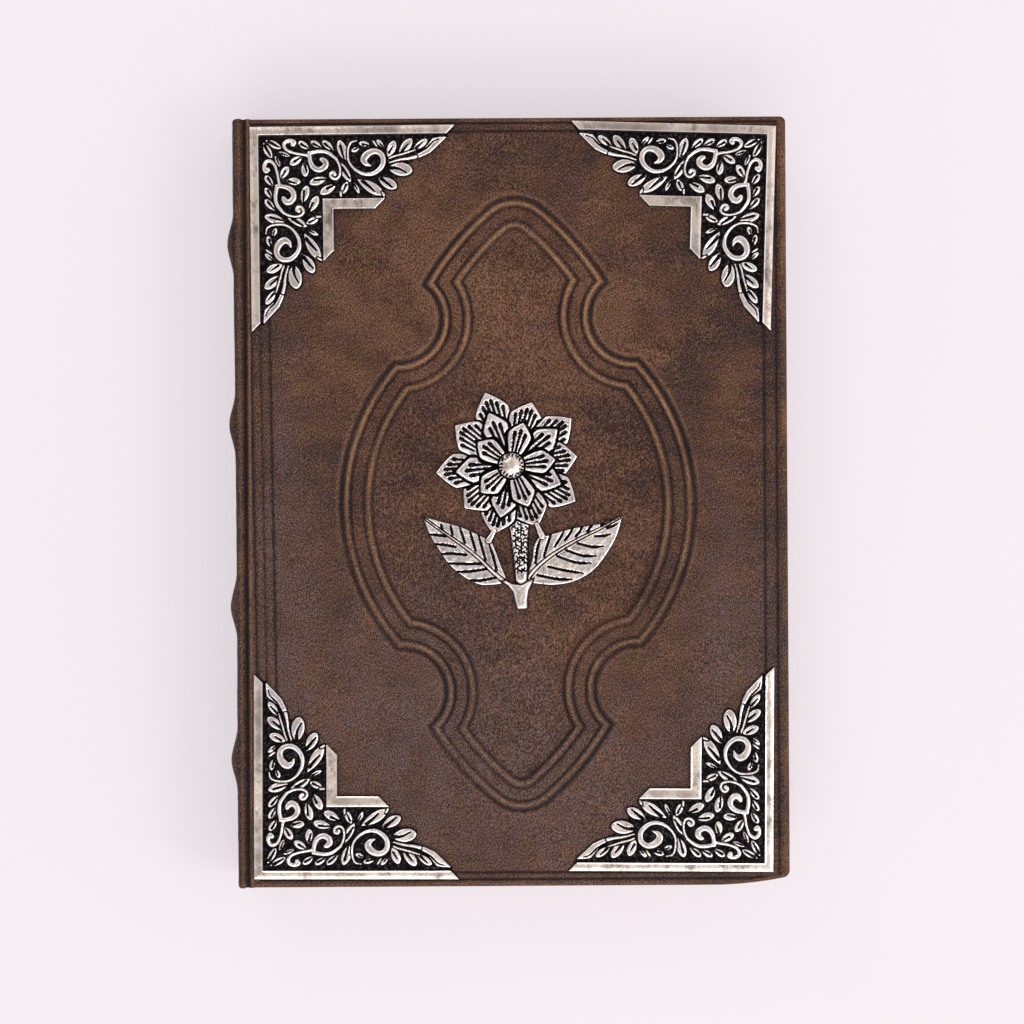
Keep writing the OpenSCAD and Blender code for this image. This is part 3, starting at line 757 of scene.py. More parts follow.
@dataclass(frozen=True)
class MedallionPlan:
    """Lobed outline of arcs: side, hollow, flank and tip in each quarter."""

    half_w: float = 57.4
    half_h: float = 99.5
    side_r: float = 69.9
    hollow: Pair = (38.2, 60.6)
    hollow_r: float = 14.1
    tip_r: float = 14.0
    flank_r: float = 94.0
    flank_y: float = 24.3
    shift: Pair = (0.3, -0.7)
    turn: float = 0.4
    samples: tuple[int, int, int, int] = (70, 56, 44, 22)

    def quarter(self, insets: Array) -> Array:
        """Places on the outline in the quarter of positive x and y.

        Each arc keeps its centre and its radius changes by the inset, so lines of equal
        inset are parallel. Neighbouring arcs meet where their circles cross.

        Args:
            insets: Distances inside the outermost line.

        Returns:
            Array of insets by columns by two, from the side to the tip.
        """
        tip_y = self.half_h - self.tip_r
        rise = tip_y - self.flank_y
        flank = np.array([-math.sqrt((self.flank_r - self.tip_r) ** 2 - rise**2), self.flank_y])
        side = np.array([self.half_w - self.side_r, 0.0])
        hollow = np.array(self.hollow)
        tip = np.array([0.0, tip_y])
        side_r, hollow_r = self.side_r - insets, self.hollow_r + insets
        flank_r, tip_r = self.flank_r - insets, self.tip_r - insets
        low = circles_meet(side, side_r, hollow, hollow_r, -1)
        high = circles_meet(flank, flank_r, hollow, hollow_r, 1)
        tangent = np.full_like(insets, math.atan2(rise, -flank[0]))

        def bearing(place: Array, centre: Array) -> Array:
            """Angles of places seen from a centre."""
            return np.arctan2(place[:, 1] - centre[1], place[:, 0] - centre[0])

        low_angle = bearing(low, hollow)
        high_angle = bearing(high, hollow)
        high_angle = np.where(high_angle > low_angle, high_angle - 2 * math.pi, high_angle)
        arcs = (
            (side, side_r, np.zeros_like(insets), bearing(low, side)),
            (hollow, hollow_r, low_angle, high_angle),
            (flank, flank_r, bearing(high, flank), tangent),
            (tip, tip_r, tangent, np.full_like(insets, math.pi / 2)),
        )
        parts = []
        for (centre, radius, start, stop), count in zip(arcs, self.samples):
            share = np.linspace(0, 1, count, endpoint=False)
            angle = start[:, None] + (stop - start)[:, None] * share
            ring = np.stack([np.cos(angle), np.sin(angle)], axis=-1) * radius[:, None, None]
            parts.append(centre + ring)
        top = np.stack([np.zeros_like(insets), tip_y + tip_r], axis=-1)[:, None]
        return np.concatenate([*parts, top], axis=1)

    def loop(self, insets: Array) -> Array:
        """The whole outline for each inset, anticlockwise from the side of positive x."""
        return self.join(self.quarter(insets))

    def join(self, first: Array) -> Array:
        """Mirrors the quarter into a closed loop without doubled places."""
        back = first[:, ::-1]
        second = back[:, 1:] * (-1, 1)
        third = first[:, 1:] * (-1, -1)
        fourth = back[:, 1:-1] * (1, -1)
        return np.concatenate([first, second, third, fourth], axis=1)

    def place_on(self, places: Array, sizes: BookSizes) -> Array:
        """Turns places and shifts them from the medallion's middle to the cover's."""
        angle = math.radians(self.turn)
        spin = np.array([[math.cos(angle), math.sin(angle)], [-math.sin(angle), math.cos(angle)]])
        return places @ spin + (sizes.middle_x + self.shift[0], self.shift[1])


class CoverSide(Enum):
    """Which cover a skin belongs to."""

    FRONT = "front"
    BACK = "back"


@dataclass(frozen=True)
class BorderPlan:
    """Insets of the border at each side: hinge, fore-edge, head and tail."""

    start: tuple[float, float, float, float] = (1.25, 1.3, 1.3, 1.3)
    outer: tuple[float, float, float, float] = (2.4, 3.5, 1.7, 2.4)
    inner: tuple[float, float, float, float] = (8.5, 7.5, 4.4, 4.6)
    end: tuple[float, float, float, float] = (11.0, 9.5, 6.4, 6.6)
    hinge_line: float = 5.5
    drift: float = 0.0132
    rows: int = 28


@dataclass
class CoverSkin:
    """Leather of one cover: outer face with its tooling, edges and turned-in strip.

    One grid covers it. Its rows run from the inside of the board round the edges, over the
    border, along parallel lines of the medallion and down to the middle of the sunk panel.
    """

    side: CoverSide
    sizes: BookSizes
    plan: MedallionPlan = field(default_factory=MedallionPlan)
    border: BorderPlan = field(default_factory=BorderPlan)
    wall_gap: float = 0.3
    corner_r: float = 1.9
    worn_length: float = 25.0
    worn_r: float = 118.0
    worn_fade: float = 16.0
    edge_r: float = 1.3
    groove_depth: float = 0.5
    panel_lines: tuple[float, float, float] = (-0.1, 2.9, 7.1)
    ridges: Pair = (1.55, 8.7)
    slope_start: float = 9.3
    slope_width: float = 4.7
    inside_height: float = -0.05
    turned_in: float = 14.0
    unevenness: tuple[tuple[float, int, float], ...] = ((16, 11, 0.10), (5.5, 12, 0.045), (2.2, 13, 0.02))
    # Spots of tone, each with its middle, half widths and amount; the dark strip along the fore-edge (84, 0)
    # is painted shade, the others are uneven dye.
    tones: tuple[tuple[float, ...], ...] = (
        (-48, 70, 34, 42, 0.30), (0, 60, 26, 36, 0.22), (-70, 5, 14, 60, -0.22), (84, 0, 9, 110, -0.44),
        (-25, -72, 45, 20, -0.05), (45, 45, 30, 30, 0.05), (55, -60, 28, 30, -0.10), (5, 112, 60, 10, -0.12),
    )
    # Painted sheen: pale pinkish spots over the lower half of the cover.
    painted_sheen_spots: tuple[tuple[float, ...], ...] = (
        (-38, -75, 48, 52, 1), (30, -98, 40, 30, 1), (-78, -20, 10, 70, 1), (70, -50, 16, 40, 1),
    )

    def unit_square(self) -> Array:
        """Place of each column on the square from -1 to 1, closer together at its corners."""
        quarter = self.plan.quarter(np.zeros(1))[0]
        corner = self.plan.samples[0] + self.plan.samples[1] // 2
        length = np.concatenate([[0], np.cumsum(np.hypot(*np.diff(quarter, axis=0).T))])
        rising = np.clip(length / length[corner], 0, 1)
        falling = np.clip((length[-1] - length) / (length[-1] - length[corner]), 0, 1)
        square = np.stack([1.35 * falling - 0.35 * falling**3, 1.35 * rising - 0.35 * rising**3], axis=-1)
        return self.plan.join(square[None])[0]

    def border_places(self, left: Array, right: Array, head: Array, tail: Array) -> Array:
        """Places on the cover's outline moved inwards, for rows of four insets each.

        A column's place on the unit square is scaled to the four sides, its corners are
        pulled onto arcs, and the worn corner lifts the tail edge along its own arc.
        """
        s = self.sizes
        p, q = self.unit_square().T
        left, right, head, tail = (value[:, None] for value in (left, right, head, tail))
        y = np.where(q > 0, q * (s.half_h - head), q * (s.half_h - tail))
        drift = -self.border.drift * y * smooth_step(1.3, 2.2, left) * (1 - smooth_step(9.0, 11.0, left))
        x_left, x_right = s.hinge_x + left + drift, s.fore_x - right
        x = np.where(p > 0, s.middle_x + p * (x_right - s.middle_x), s.middle_x + p * (s.middle_x - x_left))
        end = s.half_h - np.where(q > 0, head, tail)
        inset = np.where(p > 0, right, left - self.wall_gap)
        radius = np.maximum(np.where(p > 0, self.corner_r, 1.2) - np.maximum(inset, 0), 0.5)
        side = np.where(p > 0, x_right, x_left)
        over_x, over_y = np.sign(p) * (x - side) + radius, np.abs(y) - end + radius
        beyond = (over_x > 0) & (over_y > 0)
        pull = np.where(beyond, radius / np.maximum(np.hypot(over_x, over_y), 1e-6), 1)
        x = np.where(beyond, side + np.sign(p) * (over_x * pull - radius), x)
        y = np.where(beyond, np.sign(q) * (end + over_y * pull - radius), y)
        run = np.clip(x - (s.fore_x - self.worn_length), 0, self.worn_length)
        drop = self.worn_r - np.sqrt(self.worn_r**2 - run**2)
        y = y + drop * (1 - smooth_step(0, self.worn_fade, y + s.half_h))
        return np.stack([x, y], axis=-1)

    def edge_rows(self) -> tuple[Array, Array]:
        """Places and heights of the rows round the edge, from the turned-in strip upwards."""
        t, r = self.sizes.cover_t, self.edge_r
        inset = np.array([self.turned_in, 1.6, 0.8, 0.5, 0.23, 0.06, 0, 0, 0, 0, 0, 0])
        height = np.array([-0.05, -0.05, -0.03, 0.06, 0.23, 0.5, 0.8, 1.5, 2.2, 2.9, 3.6, t - r])
        hinge_inset = np.array([self.turned_in, 3.0, 2.5, 2.2, 1.93, 1.76, 1.7, 1.7, 1.5, 0.3, 0, 0])
        hinge_height = np.array([-0.05, -0.05, -0.03, 0.06, 0.23, 0.5, 0.8, 2.7, 3.0, 3.1, 3.4, t - r])
        turn = np.radians(np.array([18, 36, 54, 72, 90]))
        inset = np.concatenate([inset, r * (1 - np.cos(turn))])
        height = np.concatenate([height, t - r + r * np.sin(turn)])
        turned = self.border.start[0] - self.wall_gap
        hinge_inset = np.concatenate([hinge_inset, turned * (1 - np.cos(turn))]) + self.wall_gap
        hinge_height = np.concatenate([hinge_height, t - r + r * np.sin(turn)])
        places = self.border_places(hinge_inset, inset, inset, inset)
        p = self.unit_square()[:, 0]
        near_hinge = 1 - smooth_step(-1, -0.97, p)
        return places, height[:, None] + (hinge_height - height)[:, None] * near_hinge

    def border_rows(self) -> Array:
        """Places of the rows over the border, passing exactly along its two lines."""
        b = self.border
        steps = np.linspace(0, 3, b.rows + 1)[1:]
        columns = zip(b.start, b.outer, b.inner, b.end)
        return self.border_places(*(np.interp(steps, range(4), values) for values in columns))

    def line_depths(self, x: Array, y: Array) -> Array:
        """Sum of the bells of the two tooled rectangles and of the line beside the hinge."""
        s, b = self.sizes, self.border
        left = x - s.hinge_x + b.drift * y
        sides = (left, s.fore_x - x, s.half_h - y, s.half_h + y)
        total = bell(left, b.hinge_line, 0.38) * 0.8
        for line in (b.outer, b.inner):
            inside = np.minimum.reduce([side - inset for side, inset in zip(sides, line)])
            total = total + bell(inside, 0, 0.48)
        return np.clip(total, 0, 1)

    def spots(self, x: Array, y: Array, spots: tuple[tuple[float, ...], ...]) -> Array:
        """Sum of oval bells, each with its middle, its two half widths and its amount."""
        u = x - self.sizes.middle_x
        return sum(
            amount * np.exp(-(((u - at_x) / wide) ** 2) - ((y - at_y) / tall) ** 2)
            for at_x, at_y, wide, tall, amount in spots
        )

    def tooled_profile(self, inset: Array) -> tuple[Array, Array, Array]:
        """Height, darkness and crest of the medallion's moulding at a distance inside its outermost line.
        The darkness is the tooled lines and a painted shade at the foot of the sunk panel's wall.
        """
        hollow = sum(bell(inset, line, width) for line, width in zip(self.panel_lines, (0.8, 0.5, 0.5)))
        crest = bell(inset, self.ridges[0], 0.55) + 0.8 * bell(inset, self.ridges[1], 0.6)
        share = np.clip((inset - self.slope_start) / self.slope_width, 0, 1)
        depth = self.sizes.face_z - self.sizes.panel_z
        height = 0.2 * crest - self.groove_depth * hollow - depth * (1 - (1 - share) ** 2.3)
        # painted shade: a dark band at the foot of the sunk panel's wall, partly the dark of its tooled
        # crease
        dark = hollow + 0.95 * bell(inset, self.slope_start + 0.7, 0.6)
        return height, np.clip(dark, 0, 1), crest + 0.35 * bell(inset, -1.5, 0.5)

    def drawn_in(self, row: Array) -> Array:
        """A row's places drawn in to the long middle line of the cover."""
        middle = (self.sizes.middle_x, 0)
        return (row - middle) * (0, 0.6) + middle

    def rows(self, edge: Array) -> tuple[Array, Array]:
        """Lays out every row.

        Args:
            edge: Places of the rows round the edge.

        Returns:
            Places from the middle of the inside to the middle of the face, and each row's
            distance inside the medallion's outermost line.
        """
        border = self.border_rows()
        rows = [self.drawn_in(edge[0])[None], edge, border]
        insets = [np.full(1 + len(edge) + len(border), -FAR_INSET)]
        if self.side is CoverSide.FRONT:
            lines = np.arange(-3, 14.01, 0.34)
            outline = self.plan.place_on(self.plan.loop(lines), self.sizes)
            share = np.linspace(0, 1, 15)[1:-1, None, None]
            fall = np.linspace(0, 1, 13)[1:, None, None]
            middle = self.plan.place_on(self.plan.loop(np.array([13.0])) * (0, 0.8), self.sizes)
            rows += [border[-1] * (1 - share) + outline[0] * share, outline]
            rows.append(outline[-1] * (1 - fall) + middle * fall)
            insets += [np.full(len(share), -FAR_INSET), lines, np.full(len(fall), FAR_INSET)]
        else:
            fall = np.linspace(0, 1, 19)[1:, None, None]
            rows.append(border[-1] * (1 - fall) + self.drawn_in(border[-1]) * fall)
            insets.append(np.full(len(fall), -FAR_INSET))
        return np.concatenate(rows), np.concatenate(insets)[:, None]

    def surface(self) -> Surface:
        """The whole skin as one grid of rows and columns."""
        s = self.sizes
        edge, edge_height = self.edge_rows()
        places, inset = self.rows(edge)
        face = len(edge) + 1
        height = np.full(places.shape[:2], s.cover_t)
        height[0] = self.inside_height
        height[1:face] = edge_height
        x, y = places[..., 0], places[..., 1]
        on_face = np.zeros_like(height)
        on_face[face:] = 1
        lines = self.line_depths(x, y) * on_face
        moulding, dark, crest = self.tooled_profile(inset)
        pressed = 0.8 + 0.25 * value_noise(x, y, 21, 5)
        uneven = sum(value_noise(x, y, cell, seed) * amount for cell, seed, amount in self.unevenness)
        moulding = moulding * np.where(inset > self.slope_start, 1, pressed)
        height = height + (moulding + uneven - 0.08) * on_face
        height = height - self.groove_depth * 0.8 * lines * pressed
        rounding = np.zeros_like(height)
        rounding[face - 5 : face + 2] = 0.4
        kept = 0.5 + 0.5 * smooth_step(-75, 30, y)
        wear = np.clip(0.55 + 0.6 * value_noise(x, y, 9, 21), 0, 1) * kept
        z = s.inside_z + height
        if self.side is CoverSide.BACK:
            z = s.face_z - z
        marks = {
            "hollow": np.clip(np.maximum(dark * pressed * 1.15, lines), 0, 1).ravel(),
            "crest": np.clip(crest * (0.3 * kept + wear) + rounding * wear, 0, 1).ravel(),
            "tone": self.spots(x, y, self.tones).ravel(),
            "painted_sheen": np.clip(self.spots(x, y, self.painted_sheen_spots), 0, 1).ravel(),
        }
        points = np.stack([x, y, z], axis=-1).reshape(-1, 3)
        return Surface(points, grid_faces(*height.shape, wrap=True), marks)

    def build(self, finish: Material) -> Piece:
        """Builds the skin on its cover."""
        name = self.side.value
        piece = make_piece(f"{name}_cover_leather", self.surface(), finish, [f"{name}_leather"])
        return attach(piece, f"{name}_cover")


# Spine, hinge grooves, leaves and headbands


@dataclass
class SpineSection:
    """Section of the spine: a long arc with a roll at each end.

    Places are measured from the hinge line and from the middle of the book's thickness.
    """

    spine_out: float = 4.7
    spine_r: float = 145.0
    roll_r: float = 1.6
    roll_z: float = 16.95
    end_x: float = -0.75

    @property
    def centre_x(self) -> float:
        """Middle of the long arc."""
        return self.spine_r - self.spine_out

    @property
    def roll_x(self) -> float:
        """Middle of a roll, which touches the long arc from inside."""
        return self.centre_x - math.sqrt((self.spine_r - self.roll_r) ** 2 - self.roll_z**2)

    def path(self, roll_steps: int, arc_steps: int) -> Array:
        """The section from the upper groove over both rolls to the lower groove."""
        first = math.acos((self.end_x - self.roll_x) / self.roll_r)
        last = math.atan2(self.roll_z, self.roll_x - self.centre_x)
        turn = np.linspace(first, last, roll_steps, endpoint=False)
        roll = np.stack([np.cos(turn), np.sin(turn)], axis=-1) * self.roll_r + (self.roll_x, self.roll_z)
        bow = np.linspace(last, 2 * math.pi - last, arc_steps)
        arc = np.stack([np.cos(bow), np.sin(bow)], axis=-1) * self.spine_r + (self.centre_x, 0)
        return np.concatenate([roll, arc, roll[::-1] * (1, -1)])


@dataclass
class SpineSkin:
    """Leather of the spine: rolls beside the grooves, raised bands and caps."""

    sizes: BookSizes
    section: SpineSection = field(default_factory=SpineSection)
    band_places: tuple[float, ...] = (0.676, 0.206, -0.268, -0.671)
    band_out: float = 1.9
    band_length: float = 21.0
    head_spread: float = 0.5
    leather_t: float = 1.2
    cap_t: float = 2.1
    cap_out: float = 0.4
    cap_r: float = 0.95
    tones: Pair = (-0.52, -0.5)
    # Share of the painted pinkish sheen, even all over.
    painted_sheen: float = 0.12

    def surface(self) -> Surface:
        """The skin as a closed loop of the section swept along the spine, shut at both caps."""
        s = self.sizes
        outer = self.section.path(14, 72)
        x, z = outer.T[:, None]
        tangent = np.gradient(outer, axis=0)
        tangent /= np.hypot(*tangent.T)[:, None]
        normal = np.stack([-tangent[:, 1], tangent[:, 0]], axis=-1)
        reach = s.half_h + self.cap_out
        turn = np.radians(np.linspace(0, 90, 7))[1:]
        body = np.linspace(-reach + self.cap_r, reach - self.cap_r, 300)
        cap = reach - self.cap_r + self.cap_r * np.sin(turn)
        y = np.concatenate([-cap[::-1], body, cap])[:, None]
        closing = np.concatenate([np.cos(turn[::-1]), np.ones_like(body), np.cos(turn)])[:, None, None]
        near_end = smooth_step(reach - 3.2, reach - 1.4, np.abs(y))
        thick = self.leather_t + (self.cap_t - self.leather_t) * near_end
        fade = smooth_step(-1.5, 1.6, self.section.roll_z - np.abs(z))
        ways = [np.clip((y - place * s.half_h) / self.band_length, -0.5, 0.5) for place in self.band_places]
        bands = sum(np.cos(way * math.pi) ** 2 for way in ways)
        uneven = 0.10 * value_noise(z, y + z, 3.1, 31) + 0.12 * value_noise(z, y, 17, 32)
        crease = bell(x, -3.45, 0.3) * (z > 0) * smooth_step(-5, 45, y)
        out = (self.band_out * bands + uneven) * fade - 0.16 - 0.45 * crease * (1 - 0.6 * bands)
        surface = outer[None] - normal[None] * out[..., None]
        surface[..., 0] -= self.head_spread * smooth_step(-20, 100, y) * smooth_step(-1.5, -3.5, x)
        inner = surface + normal[None] * thick[..., None]
        middle = (surface + inner) / 2
        surface, inner = (middle + (side - middle) * closing for side in (surface, inner))
        loop = np.concatenate([surface, inner[:, ::-2]], axis=1)
        x_loop, z_loop = loop[..., 0] + s.hinge_x, loop[..., 1] + s.middle_z
        y_loop = np.broadcast_to(y, x_loop.shape)
        shadow = np.clip(bell(x, -0.6, 0.6) * (np.abs(z) > 16) + 0.9 * crease, 0, 1)
        rubbed = 0.4 * bands * fade + 0.28 * bell(x, -2.1, 0.6) * (np.abs(z) > 17)
        rubbed = np.clip(rubbed * (0.55 + 0.5 * value_noise(y, z, 6, 33)), 0, 1)
        front, rear = np.ones(surface.shape[:2]), np.ones_like(inner[:, ::-2, 0])
        values = {
            "hollow": (shadow, 0.4),
            "crest": (rubbed, 0),
            "tone": self.tones,
            "painted_sheen": (self.painted_sheen, self.painted_sheen),
        }
        marks = {
            mark: np.concatenate([shown * front, hidden * rear], axis=1).ravel()
            for mark, (shown, hidden) in values.items()
        }
        points = np.stack([x_loop, y_loop, z_loop], axis=-1).reshape(-1, 3)
        return Surface(points, grid_faces(*x_loop.shape, wrap=True), marks)

    def build(self, finish: Material) -> Piece:
        """Builds the skin on the block."""
        piece = make_piece("spine_cover_leather", self.surface(), finish, ["spine_leather"])
        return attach(piece, "block")


@dataclass
class JointStrip:
    """Thin leather of one hinge groove."""

    side: CoverSide
    sizes: BookSizes
    section: SpineSection = field(default_factory=SpineSection)
    turn_r: float = 1.25
    floor_drop: float = 1.38
    strip_t: float = 0.55
    ends: Pair = (-2.5, 1.75)
    bend: Pair = (-1.0, 1.3)
    tone: float = -0.46
    # Share of the painted pinkish sheen, even all over.
    painted_sheen: float = 0.12

    def surface(self) -> Surface:
        """The strip: its top follows the roll, the floor of the groove and the turn of the cover."""
        s, c = self.sizes, self.section
        x = np.linspace(*self.ends, 26)
        roll = s.middle_z + c.roll_z + np.sqrt(np.maximum(c.roll_r**2 - (x - c.roll_x) ** 2, 0))
        start = HINGE_GAP + self.turn_r
        turned = np.sqrt(np.maximum(self.turn_r**2 - np.minimum(x - start, 0) ** 2, 0))
        cover = np.where(x < HINGE_GAP, 0, s.face_z - self.turn_r + turned)
        top = np.maximum(np.maximum(roll, cover), s.face_z - self.floor_drop)
        top = np.convolve(np.pad(top, 1, mode="edge"), (0.25, 0.5, 0.25), mode="valid")
        ease = smooth_step(0, 0.5, x - x[0]) * (1 - smooth_step(-0.6, 0, x - x[-1]))
        top = top - 0.2 + 0.24 * ease
        loop_x = np.concatenate([x, x[::-1]]) + s.hinge_x
        loop_z = np.concatenate([top, top[::-1] - self.strip_t])
        y = np.concatenate([[-s.half_h], np.linspace(-s.half_h, s.half_h, 180), [s.half_h]])
        z = np.repeat(loop_z[None], len(y), axis=0)
        z[1:-1] += 0.06 * value_noise(loop_x[None] * 3, y[1:-1, None], 4, 41)
        middle = np.concatenate([top, top[::-1]]) - self.strip_t / 2
        z[0] = z[-1] = middle
        if self.side is CoverSide.BACK:
            z = s.face_z - z
        x_grid, y_grid = np.broadcast_arrays(loop_x[None], y[:, None])
        local = x_grid - s.hinge_x
        # hollow: painted shade in the floor of the hinge groove; crest: the rubbed cover edge and roll
        marks = {
            "hollow": np.clip(bell(local, -0.35, 0.6) * 1.1, 0, 1).ravel(),
            "crest": (0.6 * bell(local, 1.2, 0.4) + 0.28 * bell(local, -2.1, 0.6)).ravel(),
            "tone": np.full(x_grid.size, self.tone),
            "painted_sheen": np.full(x_grid.size, self.painted_sheen),
        }
        points = np.stack([x_grid, y_grid, z], axis=-1).reshape(-1, 3)
        return Surface(points, grid_faces(*z.shape, wrap=True), marks)

    def build(self, finish: Material) -> Piece:
        """Builds the strip between the block and its cover."""
        piece = make_piece(f"{self.side.value}_hinge_leather", self.surface(), finish, [])
        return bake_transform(piece)


@dataclass
class LeafBlock:
    """Block of leaves: cut edges that show every leaf, a hollow fore-edge and shoulders."""

    sizes: BookSizes
    section: SpineSection = field(default_factory=SpineSection)
    back_in: float = 1.85
    fore_hollow: float = 1.0
    shoulder: float = 1.4
    ragged: float = 0.09

    def surface(self) -> Surface:
        """Rows are leaves and columns run round the block: each row is moved in or out a little."""
        s, c = self.sizes, self.section
        high = node_box("text_block")[1]
        base, top = sorted((node_box("front_flyleaf")[0][2], node_box("back_flyleaf")[1][2]))
        half, level = (top - base) / 2, np.linspace(base, top, 104)
        side_x, side_y = high[0] - 0.02, high[1]
        back_x = s.hinge_x - c.spine_out + self.back_in
        head = np.linspace(0, 1, 150)
        fore = np.linspace(0, 1, 190)[1:-1]
        back = np.linspace(0, 1, 24)[1:-1]
        across = np.concatenate([head, np.ones_like(fore), head[::-1], np.zeros_like(back)])
        along = np.concatenate([-np.ones_like(head), fore * 2 - 1, np.ones_like(head), 1 - 2 * back])
        share = (level - (base + top) / 2) / half
        offset = level - s.middle_z
        fore_x = side_x - self.fore_hollow * (1 - share**2)
        spine_x = back_x + c.spine_r - np.sqrt(c.spine_r**2 - offset**2)
        rng = np.random.default_rng(7)
        leaf = rng.normal(0, 1, len(level)) * self.ragged
        section = np.repeat(rng.normal(0, 1, 14), 8)[: len(level)] * self.ragged * 0.8
        x = spine_x[:, None] + across[None] * (fore_x - spine_x)[:, None]
        y = np.repeat((along * side_y)[None], len(level), axis=0)
        wave = value_noise(x + y, 60 * level[:, None], 26, 51) * self.ragged
        inward = np.clip(0.12 + (leaf + section)[:, None] + wave, 0, 0.6)
        x = x - inward * (across == 1)
        y = y - np.sign(along) * inward * (np.abs(along) == 1)
        rise = (c.roll_z - 0.45) / half
        swell = 1 + (rise - 1) * (1 - smooth_step(0.2, self.shoulder, x - s.hinge_x))
        z = s.middle_z + (level - (base + top) / 2)[:, None] * swell
        grid = np.stack([x, y, z], axis=-1)
        ends = grid[[0, -1]]
        ends[..., 0] = np.clip(ends[..., 0], s.hinge_x + 20, s.fore_x - 20)
        ends[..., 1] = 0
        grid = np.concatenate([ends[:1], grid, ends[1:]])
        return Surface(grid.reshape(-1, 3), grid_faces(*grid.shape[:2], wrap=True))

    def build(self, finish: Material) -> Piece:
        """Builds the leaves on the block."""
        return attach(make_piece("leaves", self.surface(), finish, ["text_block"]), "block")


@dataclass
class Headband:
    """Silk-covered bead at one end of the spine, with a ridge for each thread."""

    node: str
    thread: float = 0.42
    ridge: float = 0.05

    def surface(self) -> Surface:
        """A round bead swept along the thickness of the block, its radius rippled by the threads."""
        low, high = node_box(self.node)
        outward = 1 if high[1] > 0 else -1
        radius = (high[0] - low[0]) / 2 - self.ridge
        outer_y = high[1] if outward > 0 else low[1]
        centre_x, centre_y = (low[0] + high[0]) / 2, outer_y - outward * (radius + self.ridge)
        turn = np.linspace(0, 2 * math.pi, 28, endpoint=False)
        z = np.linspace(low[2] + 0.15, high[2] - 0.15, 300)[:, None]
        size = radius + self.ridge * np.sin(2 * math.pi * z / self.thread + 1.5 * turn)
        size[[0, -1]] = 0
        x, y = centre_x + size * np.cos(turn), centre_y + size * np.sin(turn)
        points = np.stack(np.broadcast_arrays(x, y, z), axis=-1)
        return Surface(points.reshape(-1, 3), grid_faces(*size.shape, wrap=True))

    def build(self, finish: Material) -> Piece:
        """Builds the bead on the block."""
        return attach(make_piece(f"{self.node}_silk", self.surface(), finish, [self.node]), "block")


# Cast relief


@dataclass(frozen=True)
class Leaf:
    """Leaf of the relief: its foot, its tip, its width and the dark slit inside it."""

    foot: Pair
    tip: Pair
    width: float
    slit: Path = ()
    slit_r: float = 0.0

    def stroke(self) -> tuple[Array, Array]:
        """Middle line and half widths: narrow at the foot, full past the middle and blunt at the tip."""
        t = np.linspace(0, 1, 21)
        path = np.array(self.foot) + (np.array(self.tip) - self.foot) * t[:, None]
        return path, np.maximum((self.width / 2 + 0.14) * np.sin(math.pi * t**1.3) ** 0.7, 0.05)


@dataclass(frozen=True)
class Scroll:
    """Scroll of the relief: its path and the half width at each of its places."""

    path: Path
    radii: tuple[float, ...]

    def stroke(self, gain: float, grown: float) -> tuple[Array, Array]:
        """Middle line and half widths, times a gain and grown by a margin."""
        curve = curve_through(self.path, 6)
        places = np.linspace(0, len(self.radii) - 1, len(curve))
        return curve, np.interp(places, range(len(self.radii)), self.radii) * gain + grown


